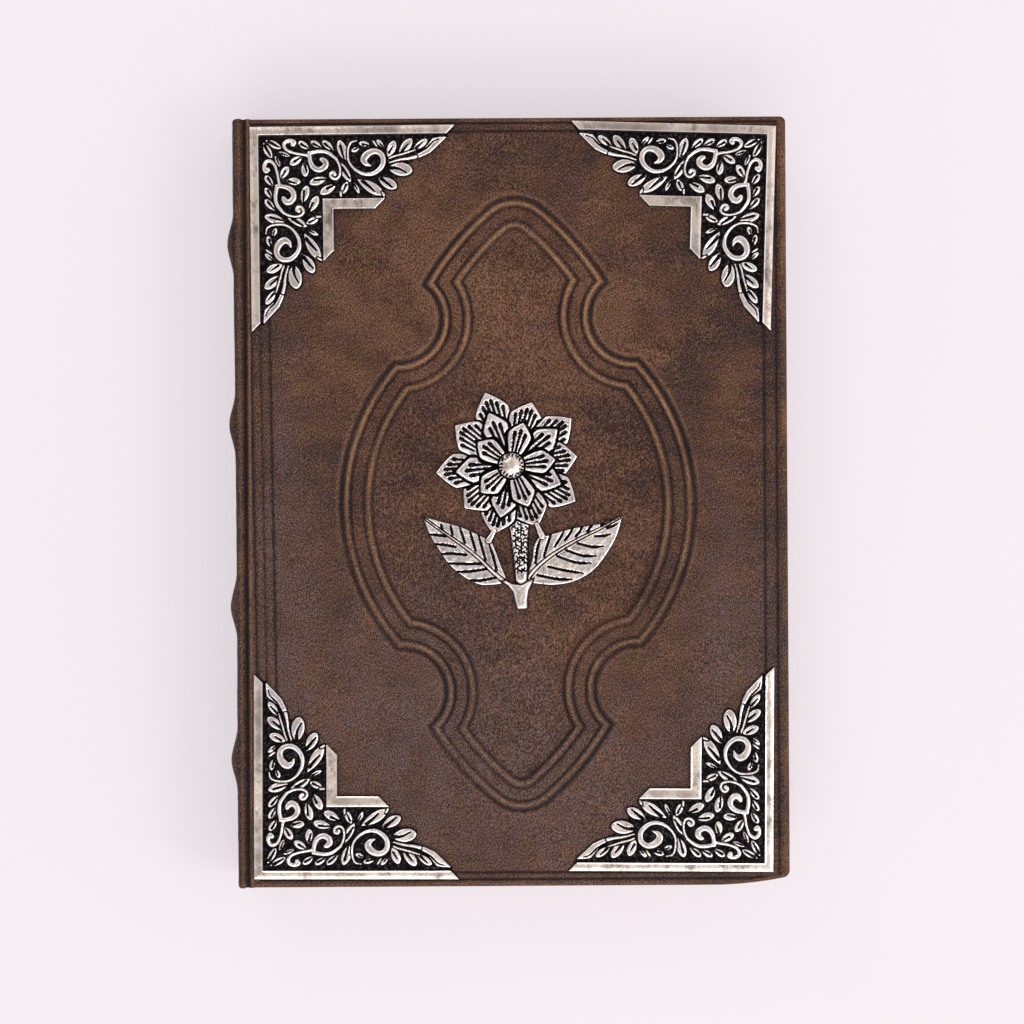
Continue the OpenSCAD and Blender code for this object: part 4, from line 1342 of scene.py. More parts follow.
@dataclass
class Relief:
    """Cast relief as a height over a flat grid, drawn form by form from the ground up.

    The cover is how far a place lies inside bright metal, negative on the black ground. The
    inside is how far it lies inside the casting's outline.
    """

    low: Pair
    high: Pair
    ground: float
    step: float = 0.21
    x: Array = field(init=False)
    y: Array = field(init=False)
    height: Array = field(init=False)
    cover: Array = field(init=False)
    inside: Array = field(init=False)
    shine: Array = field(init=False)

    def __post_init__(self) -> None:
        """Lays out the grid."""
        across = np.arange(self.low[0], self.high[0] + self.step, self.step)
        along = np.arange(self.low[1], self.high[1] + self.step, self.step)
        self.x, self.y = np.meshgrid(across, along)
        self.height = np.full(self.x.shape, self.ground)
        self.cover = np.full(self.x.shape, -1.0)
        self.inside = np.full(self.x.shape, -9.0)
        self.shine = np.zeros(self.x.shape)

    def window(self, points: Array, margin: float) -> Area:
        """Part of the grid round some points."""
        low = (points.min(axis=0) - margin - self.low) / self.step
        high = (points.max(axis=0) + margin - self.low) / self.step
        across, along = (slice(max(int(a), 0), max(int(b) + 2, 0)) for a, b in zip(low, high))
        return along, across

    def stroke(self, path: Array, radii: Array) -> tuple[Area, Array]:
        """Depth inside a stroke: the most, over its segments, of half width less distance.

        Args:
            path: Middle line.
            radii: Half width at each of its points.

        Returns:
            The part of the grid and the depth there, negative outside.
        """
        area = self.window(path, float(radii.max()) + 0.8)
        share, away = self.nearest(area, path[:-1], np.diff(path, axis=0))
        return area, (radii[:-1] + share * np.diff(radii) - away).max(axis=-1)

    def nearest(self, area: Area, start: Array, line: Array) -> tuple[Array, Array]:
        """Nearest places on segments, seen from each place of a part of the grid.

        Args:
            area: The part of the grid.
            start: Where each segment starts.
            line: From its start to its end.

        Returns:
            The share of the way along each segment, and the distance.
        """
        across = self.x[area][..., None] - start[:, 0]
        along = self.y[area][..., None] - start[:, 1]
        length = np.maximum((line**2).sum(axis=1), 1e-9)
        share = np.clip((across * line[:, 0] + along * line[:, 1]) / length, 0, 1)
        return share, np.hypot(across - share * line[:, 0], along - share * line[:, 1])

    def polygon(self, corners: Array) -> tuple[Area, Array]:
        """Depth inside a polygon: distance to its nearest edge, negative outside.

        A place is inside where a line from it crosses an odd number of edges.
        """
        area = self.window(corners, 0.9)
        ends = np.roll(corners, -1, axis=0)
        line = ends - corners
        away = self.nearest(area, corners, line)[1].min(axis=-1)
        x, y = self.x[area][..., None], self.y[area][..., None]
        rise = np.where(line[:, 1] == 0, 1e-9, line[:, 1])
        spanned = (corners[:, 1] > y) != (ends[:, 1] > y)
        beside = x < corners[:, 0] + (y - corners[:, 1]) * line[:, 0] / rise
        return area, np.where((spanned & beside).sum(axis=-1) % 2 == 1, away, -away)

    def outline(self, drawn: tuple[Area, Array], margin: float = 0.0) -> None:
        """Adds a drawn form, with a margin, to the casting's outline."""
        area, depth = drawn
        self.inside[area] = np.maximum(self.inside[area], depth + margin)

    def rise(
        self,
        drawn: tuple[Area, Array],
        top: float | Array,
        gap: float = 0.3,
        roll: float = 0.6,
        floor: float | None = None,
        line: float = 0.1,
    ) -> None:
        """Raises a rounded form over what is there, with a black line round it.

        Its height is the floor plus the rest times sqrt(1 - (1 - q)^2), where q is its depth
        over the roll, up to 1.

        Args:
            drawn: Part of the grid and the depth inside the form.
            top: Height of the form, one number or one per place.
            gap: Width of the black line round it.
            roll: Depth at which its full height is reached.
            floor: Height in the black line; the ground if it isn't given.
            line: Width of what is fully black round it.
        """
        area, depth = drawn
        base = self.ground if floor is None else floor
        near = smooth_step(-gap, 0, depth)
        below = self.height[area] + (np.minimum(base, self.height[area]) - self.height[area]) * near
        dome = np.sqrt(1 - (1 - np.clip(depth / roll, 0, 1)) ** 2)
        self.height[area] = np.where(depth > 0, base + (top - base) * dome, below)
        self.cover[area] = np.where(depth > 0, depth, np.minimum(self.cover[area], -depth - line))
        self.shine[area] = np.where(depth > 0, 0, self.shine[area])

    def carve(self, drawn: tuple[Area, Array], amount: float) -> None:
        """Cuts a black line into what is there."""
        area, depth = drawn
        cut = smooth_step(-0.16, 0.12, depth)
        self.height[area] -= amount * cut
        self.cover[area] = np.minimum(self.cover[area], -depth + 0.04)

    def mirrored(self) -> None:
        """Mirrors the part below the diagonal onto the part above it."""
        lower = self.x >= self.y
        for name in ("height", "cover", "inside", "shine"):
            values = getattr(self, name)
            setattr(self, name, np.where(lower, values, values.T))

    def surface(self, base: float, place: Callable[[Array, Array], tuple[Array, Array]]) -> Surface:
        """The relief as a shell with walls down to its base.

        Cells that touch the outline's inside stay. Their points outside it move onto it, by
        the outline's distance along its steepest rise.

        Args:
            base: Height of the underside.
            place: Where a place of the grid lies on the book.

        Returns:
            The surface, open only at its flat underside.
        """
        slope_y, slope_x = np.gradient(self.inside, self.step)
        steep = np.maximum(np.hypot(slope_x, slope_y), 0.3)
        move = np.where(self.inside < 0, -self.inside, 0) / steep
        x, y = self.x + move * slope_x / steep, self.y + move * slope_y / steep
        rows, columns = self.x.shape
        faces = grid_faces(rows, columns, wrap=False)
        faces = faces[(self.inside.ravel()[faces] > 0).any(axis=1)]
        edges = np.concatenate([faces[:, [i, (i + 1) % 4]] for i in range(4)])
        keys = np.sort(edges, axis=1) @ (rows * columns, 1)
        unique, first, count = np.unique(keys, return_index=True, return_counts=True)
        rim = edges[first[count == 1]]
        used, renumbered = np.unique(faces, return_inverse=True)
        rim_points, rim_numbers = np.unique(rim, return_inverse=True)
        top = np.searchsorted(used, rim)
        bottom = len(used) + rim_numbers.reshape(rim.shape)
        walls = np.stack([top[:, 1], top[:, 0], bottom[:, 0], bottom[:, 1]], axis=-1)
        chosen = np.concatenate([used, rim_points])
        placed_x, placed_y = place(x.ravel()[chosen], y.ravel()[chosen])
        z = np.concatenate([self.height.ravel()[used], np.full(len(rim_points), base)])
        ridge = 2.5 * (self.height - self.blurred(self.height))
        marks = {
            "patina": (1 - smooth_step(0.0, 0.24, self.cover)).ravel()[chosen],
            "shine": np.clip(0.2 + ridge + self.shine, 0, 1).ravel()[chosen],
        }
        shape = np.concatenate([renumbered.reshape(faces.shape), walls])
        return Surface(np.stack([placed_x, placed_y, z], axis=-1), shape, marks)

    @staticmethod
    def blurred(values: Array, reach: int = 4) -> Array:
        """Mean of the values over a square round each place."""
        padded = np.pad(values, reach + 1, mode="edge").cumsum(axis=0).cumsum(axis=1)
        side = 2 * reach + 1
        bands = padded[side:] - padded[:-side]
        total = bands[:, side:] - bands[:, :-side]
        return total[: values.shape[0], : values.shape[1]] / side**2


# Corner plates and flower


class PlateCorner(Enum):
    """Corner of the front cover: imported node, at the fore-edge, at the head, insets and turn."""

    HEAD_SPINE = ("corner_head_spine", False, True, (1.7, 2.6), 0.3)
    HEAD_FORE = ("corner_head_fore", True, True, (3.1, 3.3), -1.8)
    TAIL_SPINE = ("corner_tail_spine", False, False, (1.7, 2.8), -0.3)
    TAIL_FORE = ("corner_tail_fore", True, False, (5.4, 4.2), -0.6)


@dataclass
class CornerPlate:
    """Cast corner plate: flat frame bands round leaves and scrolls, mirrored over its diagonal."""

    arm: float = 67.0
    bands: tuple[tuple[float, float, float], ...] = ((0.0, 3.15, 67.0), (23.5, 3.8, 44.3))
    stroke_gain: float = 1.15
    stroke_grown: float = 0.14
    ground_t: float = 0.6
    top: float = 1.5
    sunk: float = 0.45
    outline: Path = (
        (0, 0), (67.0, 0), (64.4, 3.3), (64.6, 3.8), (61.9, 6.4), (58.8, 9.3), (56.1, 10.6),
        (52.7, 11.7), (51.0, 12.6), (52.0, 14.5), (50.6, 16.0), (46.8, 17.2), (47.2, 19.2), (45.8, 20.4),
        (42.9, 21.2), (43.7, 23.3), (40.9, 26.7), (26.7, 26.7),
    )
    scrolls: tuple[Scroll, ...] = (
        Scroll(
            (
                (14.1, 5.9), (14.6, 5.3), (13.7, 4.8), (12.3, 4.9), (11.3, 5.7), (11.4, 6.9), (12.5, 8),
                (14.3, 8.7), (16.1, 9.1), (17.9, 9.4), (19.1, 9.8),
            ),
            (0.68, 0.59, 0.55, 0.55, 0.55, 0.46, 0.39, 0.36, 0.36, 0.39, 0.41),
        ),
        Scroll(
            (
                (19.4, 8.8), (19.6, 10.7), (20.1, 12.5), (21.3, 13.9), (22.9, 14.2), (24.4, 13.3),
                (24.7, 12), (24, 11.2), (23.3, 10.9),
            ),
            (0.59, 0.59, 0.68, 0.78, 0.82, 0.87, 0.87, 0.78, 0.55),
        ),
        Scroll(
            ((19.4, 8.9), (21.1, 8.5), (23.4, 8.3), (25.2, 8.7), (26.8, 9.7), (28.2, 10.9)),
            (0.55, 0.55, 0.52, 0.5, 0.46, 0.41),
        ),
        Scroll(
            (
                (28.2, 10.9), (29, 12.6), (29.4, 14.7), (29, 16.6), (27.8, 17.4), (26.4, 16.7),
                (26.2, 15.6), (27.1, 15.1), (27.6, 15.8),
            ),
            (0.36, 0.34, 0.32, 0.34, 0.36, 0.41, 0.41, 0.46, 0.55),
        ),
        Scroll(
            (
                (34.8, 5.1), (33.2, 5.4), (32.3, 6.7), (31.9, 9), (32.2, 11.5), (33.5, 13.6),
                (35.6, 15.2), (37.8, 15.9), (40, 15.7), (41.8, 14.6), (43.1, 13), (43.4, 11.1),
                (42.7, 9.4), (41.1, 8.5), (39.2, 8.8), (37.7, 9.9), (37.1, 11.2), (37.8, 12.5),
                (39.2, 13.1),
            ),
            (
                0.21, 0.25, 0.27, 0.3, 0.32, 0.36, 0.46, 0.52, 0.59, 0.68, 0.73, 0.75, 0.78, 0.82, 0.96,
                1.09, 1, 0.68, 0.27,
            ),
        ),
        Scroll(
            ((45.4, 10.8), (47.2, 10.1), (49.5, 9.5), (51.8, 8.8), (53.8, 8.2)),
            (0.21, 0.25, 0.27, 0.25, 0.18),
        ),
        Scroll(((29.5, 21.6), (29.5, 22.7)), (0.32, 0.32)),
        Scroll(((45.4, 12.2), (48.6, 11.3), (51.8, 10.9), (54.0, 10.4)), (0.18, 0.28, 0.4, 0.5)),
    )
    leaves: tuple[Leaf, ...] = (
        Leaf((5.0, 4.3), (10.3, 7.2), 2.1, ((6.3, 5.0), (9.6, 6.8)), 0.42),
        Leaf((9.2, 8.1), (13.2, 9.9), 1.3, ((10.4, 8.8), (12.5, 9.6)), 0.2),
        Leaf((19.5, 7.5), (16, 5.1), 2.1, ((16.8, 5.9), (19, 7.2)), 0.32),
        Leaf((23.6, 7.1), (19.9, 5), 1.9, ((20.8, 5.8), (23, 6.9)), 0.3),
        Leaf((27.5, 8.1), (23.7, 4.9), 2.1, ((24.5, 5.8), (26.8, 7.7)), 0.32),
        Leaf((31.3, 11.7), (29.1, 4.8), 3.0, ((29.5, 6.5), (30.9, 11.5)), 0.34),
        Leaf((28.5, 10.8), (32.7, 18.4), 2.5, ((30.1, 13.8), (32.3, 17.1)), 0.48),
        Leaf((25.3, 17), (19.4, 18.6), 2.7, ((21.2, 17.6), (24.9, 17.3)), 0.32),
        Leaf((28.2, 19.2), (22.8, 22), 2.7, ((25.1, 20.4), (28, 19.1)), 0.36),
        Leaf((17.2, 9.9), (13.2, 12.4), 2.5, ((14.6, 11.5), (16.6, 10.3)), 0.34),
        Leaf((17.7, 11.6), (18.1, 16.4), 2.4, ((17.9, 12.6), (18.6, 15.2)), 0.34),
        Leaf((31.8, 18.0), (30.0, 22.0), 2.2, ((31.3, 19.2), (30.4, 21.2)), 0.3),
        Leaf((36, 7.2), (33.1, 8.4), 1.5, ((34, 7.8), (35.9, 7.3)), 0.18),
        Leaf((39.4, 6.4), (35.6, 5.7), 1.7, ((36.6, 6.1), (39.2, 6.6)), 0.27),
        Leaf((41.8, 7.5), (39.9, 4.7), 0.7),
        Leaf((43.9, 7.4), (41.3, 4.7), 1.4, ((42.5, 6.1), (43.7, 7.3)), 0.18),
        Leaf((44.9, 10.6), (47.1, 5.2), 2.8, ((45.3, 8.9), (46.6, 6.9)), 0.34),
        Leaf((48.4, 9.8), (52.7, 4.6), 3.0, ((49.2, 9), (51.5, 6.3)), 0.39),
        Leaf((52.9, 8.3), (57.8, 4.8), 2.3, ((54.1, 7.6), (56.4, 5.5)), 0.34),
        Leaf((44.7, 13.9), (52.6, 14.8), 4.3, ((45.4, 14), (48.1, 14.1), (50.9, 15.5)), 0.43),
        Leaf((41.6, 17.1), (47.6, 20.3), 3.4, ((42.7, 17.3), (46.2, 20.2)), 0.5),
        Leaf((34.6, 17.3), (43.5, 22.6), 3.4, ((36.7, 18.2), (38.7, 19.8), (40.5, 21.5)), 0.5),
        Leaf((33.7, 18.2), (35.5, 22.2), 1.3, ((34, 19.1), (34.9, 20.9)), 0.18),
        Leaf((42.7, 21.3), (43.8, 23.3), 0.8),
    )
    tip_leaf: Path = (
        (51.6, 10.9), (54.5, 9.4), (56.6, 7.8), (58.3, 5.7), (59.4, 4.3), (61.5, 3.95), (64.5, 3.85),
        (61.9, 6.35), (58.8, 9.25), (56.1, 10.5), (53.0, 11.5),
    )
    tip_slit: Path = ((55.2, 8.8), (57.6, 7.5), (59.8, 5.4), (61.9, 4.7))
    edge_leaves: tuple[int, ...] = (19, 20, 21, 23)

    def casting(self) -> Relief:
        """Draws the casting on its grid."""
        relief = Relief((-0.5, -0.5), (self.arm + 0.5, self.arm + 0.5), self.ground_t)
        relief.height += 0.1 * value_noise(relief.x, relief.y, 0.7, 61)
        relief.outline(relief.polygon(np.array(self.outline)))
        for number, leaf in enumerate(self.leaves):
            drawn = relief.stroke(*leaf.stroke())
            if number in self.edge_leaves:
                relief.outline(drawn, 0.25)
            relief.rise(drawn, self.top * 0.95)
            if leaf.slit:
                slit = curve_through(leaf.slit, 5)
                relief.carve(relief.stroke(slit, np.linspace(1.1, 0.45, len(slit)) * leaf.slit_r), 0.6)
        relief.rise(relief.polygon(np.array(self.tip_leaf)), self.top * 0.92, roll=0.5)
        slit = curve_through(self.tip_slit, 6)
        relief.carve(relief.stroke(slit, np.linspace(0.34, 0.1, len(slit))), 0.4)
        scrolls = np.full(relief.x.shape, -9.0)
        for scroll in self.scrolls:
            area, depth = relief.stroke(*scroll.stroke(self.stroke_gain, self.stroke_grown))
            scrolls[area] = np.maximum(scrolls[area], depth)
        relief.rise(((slice(None), slice(None)), scrolls), self.top, roll=0.7)
        self.frame(relief)
        relief.mirrored()
        return relief

    def frame(self, relief: Relief) -> None:
        """Adds the two frame bands: satin flats, each with a polished rim along its inner side.

        A band's depth is the least of its distances to both sides and to its slanting end.
        """
        area = (slice(None), slice(None))
        for low, width, end in self.bands:
            across = relief.y - low
            depth = np.minimum.reduce([across, width - across, (end - relief.x - across) / math.sqrt(2)])
            relief.outline((area, depth))
            rim = bell(across, width - 0.3, 0.15)
            slope = np.clip(1.3 - across, 0, 1.3) * (0.13 if low == 0 else 0.05)
            relief.rise((area, depth), self.top * 0.93 - slope + 0.1 * rim, gap=0.5, roll=0.35)
            inside = depth > 0
            relief.cover = np.where(inside, depth + 0.3, relief.cover)
            relief.shine += np.where(inside, 0.9 * rim - 0.25 - 0.5 * slope, 0)

    def build(self, finish: Material, sizes: BookSizes) -> None:
        """Builds the four castings on the front cover."""
        relief = self.casting()
        for corner in PlateCorner:
            node, to_fore, to_head, insets, turn = corner.value
            cos, sin = math.cos(math.radians(turn)), math.sin(math.radians(turn))
            at_x = sizes.fore_x - insets[0] if to_fore else sizes.hinge_x + insets[0]
            at_y = (sizes.half_h - insets[1]) * (1 if to_head else -1)
            hands = (-1 if to_fore else 1, -1 if to_head else 1)

            def place(u: Array, v: Array) -> tuple[Array, Array]:
                """Where a place of the grid lies on the cover."""
                x, y = u * hands[0], v * hands[1]
                return at_x + x * cos - y * sin, at_y + x * sin + y * cos

            surface = relief.surface(-self.sunk, place)
            surface.points[:, 2] += sizes.face_z
            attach(make_piece(f"{node}_casting", surface, finish, [node]), "front_cover")


@dataclass
class FlowerCasting:
    """Cast flower: two rings of petals round a dome, a beaded stem and two veined leaves.

    A petal is given by its turn in degrees and its reach.
    """

    ground_t: float = 0.35
    underside: float = -0.3
    outer_width: float = 5.8
    inner_widths: Pair = (4.1, 4.3)
    inner_gain: float = 1.03
    petal_tops: Pair = (0.9, 2.0)
    dome_foot: float = 2.2
    leaf_top: float = 1.7
    stem_top: float = 2.0
    stub_top: float = 1.9
    centre: Pair = (0.9, 11.8)
    dome_r: float = 4.2
    dome_top: float = 4.75
    outer: tuple[Pair, ...] = (
        (-19.4, 25.5), (18.2, 21.9), (52.0, 25.1), (82.4, 21.8), (119.4, 24.1),
        (156.8, 21.6), (195.4, 23.2), (228.2, 20.8), (265.0, 24.9), (305.8, 22.7),
    )
    inner: tuple[Pair, ...] = (
        (-22.6, 18.4), (15.8, 14.3), (52.2, 18.8), (82.7, 14.2), (111.1, 17.0),
        (157.6, 14.2), (192.2, 17.0), (228.7, 13.0), (263.9, 17.9), (305.0, 13.2),
    )
    left_leaf: tuple[Path, Path] = (
        (
            (-29.2, -16.1), (-23.2, -17.8), (-16.3, -19.8), (-9.8, -22.8), (-6.8, -24.4), (-5.3, -27.5),
            (-3.6, -32.0), (-1.8, -36.5),
        ),
        (
            (-2.2, -38.4), (-6.8, -38.9), (-10.8, -38.7), (-15.3, -36.5), (-20.2, -32.5), (-23.7, -27.5),
            (-26.7, -22.5), (-29.2, -16.1),
        ),
    )
    right_leaf: tuple[Path, Path] = (
        (
            (36.2, -16.3), (30.4, -18.5), (24.9, -19.5), (19.0, -20.5), (10.9, -22.8), (8.6, -23.4),
            (7.0, -26.3), (6.3, -31.2), (4.7, -36.4),
        ),
        (
            (4.9, -38.2), (9.3, -38.7), (14.0, -39.0), (20.5, -37.8), (26.5, -34.3), (31.0, -28.8),
            (34.4, -22.6), (36.2, -16.3),
        ),
    )
    left_rib: Path = (
        (-28.2, -17.1), (-22.2, -21.5), (-15.8, -26.0), (-10.8, -30.0), (-6.8, -34.0), (-2.9, -37.4),
    )
    right_rib: Path = (
        (35.2, -17), (28.9, -20.5), (21.9, -23.9), (14.9, -27.9), (10, -31.4), (6.2, -35.2),
        (4.5, -38.2),
    )
    left_veins: tuple[Path, ...] = (
        ((-23, -18.8), (-22.5, -20.9)), ((-19.9, -19.3), (-19.3, -22.3)), ((-17, -19.8), (-15.3, -24.9)),
        ((-13.7, -21), (-11.8, -27.6)), ((-11, -22), (-8.6, -30.6)),
        ((-7.5, -25.3), (-6.1, -29.5), (-5, -34)), ((-26.8, -22.1), (-24.4, -22.4), (-21.6, -22.8)),
        ((-25.3, -25.3), (-21.9, -25.6), (-18.3, -26.3)),
        ((-23.9, -28.6), (-19.4, -28.5), (-14.8, -28.9)), ((-21.6, -31.5), (-15.4, -31.9), (-9, -31.8)),
        ((-18.3, -34.4), (-12.9, -34.2), (-7.6, -33.4)), ((-14.3, -37.2), (-10, -37.2), (-5.5, -36.4)),
    )
    right_veins: tuple[Path, ...] = (
        ((30.5, -17.7), (29.1, -19.5)), ((26.8, -18.5), (24.6, -21.4)),
        ((23.3, -19.2), (22.1, -21.5), (20.7, -23.1)), ((20, -20.2), (18.7, -22.5), (17.2, -24.3)),
        ((17, -21.3), (15.5, -24), (14, -26.3)), ((12.9, -22), (11.8, -25), (10.4, -29.5)),
        ((9.2, -23.8), (8.2, -27.5), (7.6, -31.7)), ((34.4, -19), (32.9, -19.8), (31, -20.5)),
        ((32.1, -22.4), (29.9, -23), (27, -23.1)), ((29.8, -26.3), (25.9, -26.5), (21.4, -25.4)),
        ((27.5, -29.5), (22.9, -29.4), (17.7, -27.6)), ((25.8, -31.9), (20.4, -31.5), (14.7, -29.5)),
        ((23, -35.1), (17.4, -34.2), (11.8, -32.9)), ((19.5, -37.1), (14.4, -36.9), (8.2, -35.6)),
    )
    stub: Path = (
        (-4, -37.5), (-2, -37), (0, -38.2), (2.7, -38.7), (5, -37.5), (7.2, -36.5), (6.7, -38.2),
        (5.6, -40.6), (5.1, -43.4), (5.1, -46.5), (4, -46.9), (1.5, -46.9), (0.7, -43.9), (0.1, -41.2),
        (-1.6, -39.1),
    )
    bridges: tuple[Path, ...] = (((-7.6, -24.3), (-5.6, -21.0)), ((9.8, -23.0), (8.1, -19.0)))
    stem: Path = ((2.4, -18.0), (2.5, -24.0), (2.8, -30.0), (3.0, -36.5))

    def petal(
        self, relief: Relief, turn: float, reach: float, width: float, shoulder: float
    ) -> tuple[tuple[Area, Array], Array]:
        """Depth inside a petal, its half width less the distance from its middle line, and its arch.

        The half width grows to its shoulder as 1 - (1 - t / shoulder)^1.6 and then falls to
        the tip as 1 - s^1.3, where s is the share of the way left to the tip. The arch is
        0.5 (1 - a^2) + 0.5 t^2, where a is the distance from the middle line over the width.
        """
        ahead = np.array([math.sin(math.radians(turn)), math.cos(math.radians(turn))])
        area = relief.window(np.array([(0.0, 0.0), ahead * reach]), width + 1)
        along = (relief.x[area] * ahead[0] + relief.y[area] * ahead[1]) / reach
        away = np.abs(relief.x[area] * ahead[1] - relief.y[area] * ahead[0])
        growing = 1 - (1 - np.clip(along / shoulder, 0, 1)) ** 1.6
        falling = 1 - np.clip((along - shoulder) / (1 - shoulder), 0, 1) ** 1.3
        depth = np.minimum((width * growing * falling - away) * 0.8, (1 - along) * reach * 0.75 + 0.02)
        arch = 0.5 * (1 - np.clip(away / width, 0, 1) ** 2) + 0.5 * np.clip(along, 0, 1) ** 2
        return (area, np.minimum(depth, along * reach)), arch

    def ray(
        self, relief: Relief, turn: float, start: Pair, stop: Pair, width: float
    ) -> tuple[Area, Array]:
        """A dark line with a drop at its outer end, between two places given as reach and side step."""
        ahead = np.array([math.sin(math.radians(turn)), math.cos(math.radians(turn))])
        aside = np.array([ahead[1], -ahead[0]])
        share = np.linspace(0, 1, 9)[:, None]
        ends = [reach * ahead + side * aside for reach, side in (start, stop)]
        radii = width * np.array([0.55, 0.55, 0.55, 0.58, 0.6, 0.65, 0.75, 1.1, 1.0])
        return relief.stroke(ends[0] * (1 - share) + ends[1] * share, radii)

    def flower_head(self, relief: Relief) -> None:
        """Draws both rings of petals and the punched dome."""
        for turn, reach in self.outer:
            drawn, arch = self.petal(relief, turn, reach, self.outer_width, 0.74)
            relief.outline(drawn, 0.1)
            relief.rise(drawn, self.petal_tops[0] + arch, gap=0.5, roll=0.5, line=0.3)
            for share in np.linspace(-1, 1, 6):
                stop = (reach * (0.88 - 0.13 * abs(share) ** 1.5), 3.9 * share)
                relief.carve(self.ray(relief, turn, (reach * 0.56, 3.1 * share), stop, 0.52), 0.6)
        for turn, reach in sorted(self.inner, key=lambda petal: -petal[1]):
            reach = reach * self.inner_gain
            drawn, arch = self.petal(relief, turn, reach, self.inner_widths[reach > 16], 0.7)
            relief.rise(drawn, self.petal_tops[1] + arch, gap=0.7, roll=0.6, floor=0.9, line=0.6)
            for share in (-1, 0, 1):
                stop = (reach * (0.8 - 0.07 * abs(share)), 1.75 * share)
                relief.carve(self.ray(relief, turn, (5.0, 1.1 * share), stop, 0.52), 0.8)
        away = np.hypot(relief.x, relief.y)
        everywhere = (slice(None), slice(None))
        dome = np.sqrt(np.maximum(1 - (away / (self.dome_r * 1.04)) ** 2, 0))
        top = self.dome_foot + (self.dome_top - self.dome_foot) * dome
        relief.rise((everywhere, self.dome_r - away), top, gap=0.6, roll=0.25, floor=1.7, line=0.35)
        relief.shine -= 0.3 * (away < self.dome_r)
        rng = np.random.default_rng(3)
        for count, ring in ((21, 3.45), (13, 2.85)):
            turns = np.linspace(0, 2 * math.pi, count, endpoint=False) + rng.uniform(-0.1, 0.1, count)
            for turn, out in zip(turns, rng.uniform(-0.15, 0.15, count)):
                dot = np.array([(math.cos(turn), math.sin(turn))]) * (ring + out)
                radii = np.full(2, 0.26 if ring > 3 else 0.14)
                relief.carve(relief.stroke(np.vstack([dot, dot * 1.05]), radii), 0.5)

    def leaf(self, relief: Relief, sides: tuple[Path, Path], rib: Path, veins: tuple[Path, ...]) -> None:
        """Draws a leaf: its blade, the dark lines between its veins and its raised midrib."""
        upper, lower = (curve_through(side, 8) for side in sides)
        drawn = relief.polygon(np.concatenate([upper, lower]))
        relief.outline(drawn)
        relief.rise(drawn, self.leaf_top, gap=0.3, roll=0.45)
        for vein in veins:
            line = curve_through(vein, 6)
            radii = np.interp(np.linspace(0, 1, len(line)), (0, 0.3, 1), (0.14, 0.38, 0.34))
            relief.carve(relief.stroke(line, radii), 0.7)
        middle = curve_through(rib, 12)
        drawn = relief.stroke(middle, np.linspace(0.25, 0.62, len(middle)))
        relief.rise(drawn, 2.1, gap=0.42, roll=0.6, floor=0.9)

    def stalk(self, relief: Relief) -> None:
        """Draws the stem with rows of cut crescents, and the plain polished stub below."""
        path = curve_through(self.stem, 10)
        share = np.linspace(0, 1, len(path))
        drawn = relief.stroke(path, np.interp(share, (0, 0.4, 1), (3.4, 2.7, 2.1)))
        relief.outline(drawn, 0.25)
        relief.rise(drawn, self.stem_top, gap=0.4, roll=1.3)
        turn = np.linspace(0.1, math.pi - 0.1, 7)
        arc = np.stack([np.cos(turn) * 0.55, np.sin(turn) * 0.5], axis=-1)
        rng = np.random.default_rng(17)
        for row, place in enumerate(np.linspace(0.02, 0.93, 21)):
            middle = path[int(place * (len(path) - 1))]
            reach = np.interp(place, (0, 1), (2.5, 1.5))
            for side in ((-0.85, 0, 0.85) if row % 2 else (-0.42, 0.42)):
                angle = rng.uniform(-1.3, 1.3) + (math.pi if rng.uniform() > 0.6 else 0)
                spin = np.array([[math.cos(angle), math.sin(angle)], [-math.sin(angle), math.cos(angle)]])
                relief.carve(relief.stroke(middle + (side * reach, 0) + arc @ spin, np.full(7, 0.17)), 0.5)
        stub = relief.polygon(np.array(self.stub))
        relief.outline(stub)
        relief.rise(stub, self.stub_top, gap=0.05, roll=1.1)

    def build(self, finish: Material, sizes: BookSizes) -> Piece:
        """Builds the casting on the front cover's sunk panel."""
        relief = Relief((-30.5, -48.5), (37.8, 27.0), self.ground_t)
        self.leaf(relief, self.left_leaf, self.left_rib, self.left_veins)
        self.leaf(relief, self.right_leaf, self.right_rib, self.right_veins)
        self.stalk(relief)
        self.flower_head(relief)
        for bridge in self.bridges:
            drawn = relief.stroke(np.array(bridge), np.array([1.2, 0.8]))
            relief.outline(drawn, 0.1)
            relief.rise(drawn, 1.5, gap=0.05, line=-0.3)

        def place(x: Array, y: Array) -> tuple[Array, Array]:
            """Where a place of the grid lies on the panel."""
            return x + self.centre[0], y + self.centre[1]

        relief.height += 0.06 * value_noise(relief.x, relief.y, 1.1, 71) * (relief.cover > 0.2)
        surface = relief.surface(self.underside, place)
        surface.points[:, 2] += sizes.panel_z
        piece = make_piece("flower_casting", surface, finish, ["flower_ornament"])
        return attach(piece, "front_cover")


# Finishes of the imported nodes, and the studio


def dress(finish: Material, *nodes: str) -> None:
    """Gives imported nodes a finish."""
    for node in nodes:
        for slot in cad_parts[node].material_slots:
            slot.material = finish


def seen_rays(graph: Graph) -> Socket:
    """1 for rays that show the backdrop: from the camera, off metal and through glass."""
    path = graph.node("LightPath").outputs
    glossy = graph.maths("MAXIMUM", path["Is Glossy Ray"], path["Is Transmission Ray"])
    return graph.maths("MAXIMUM", path["Is Camera Ray"], glossy)


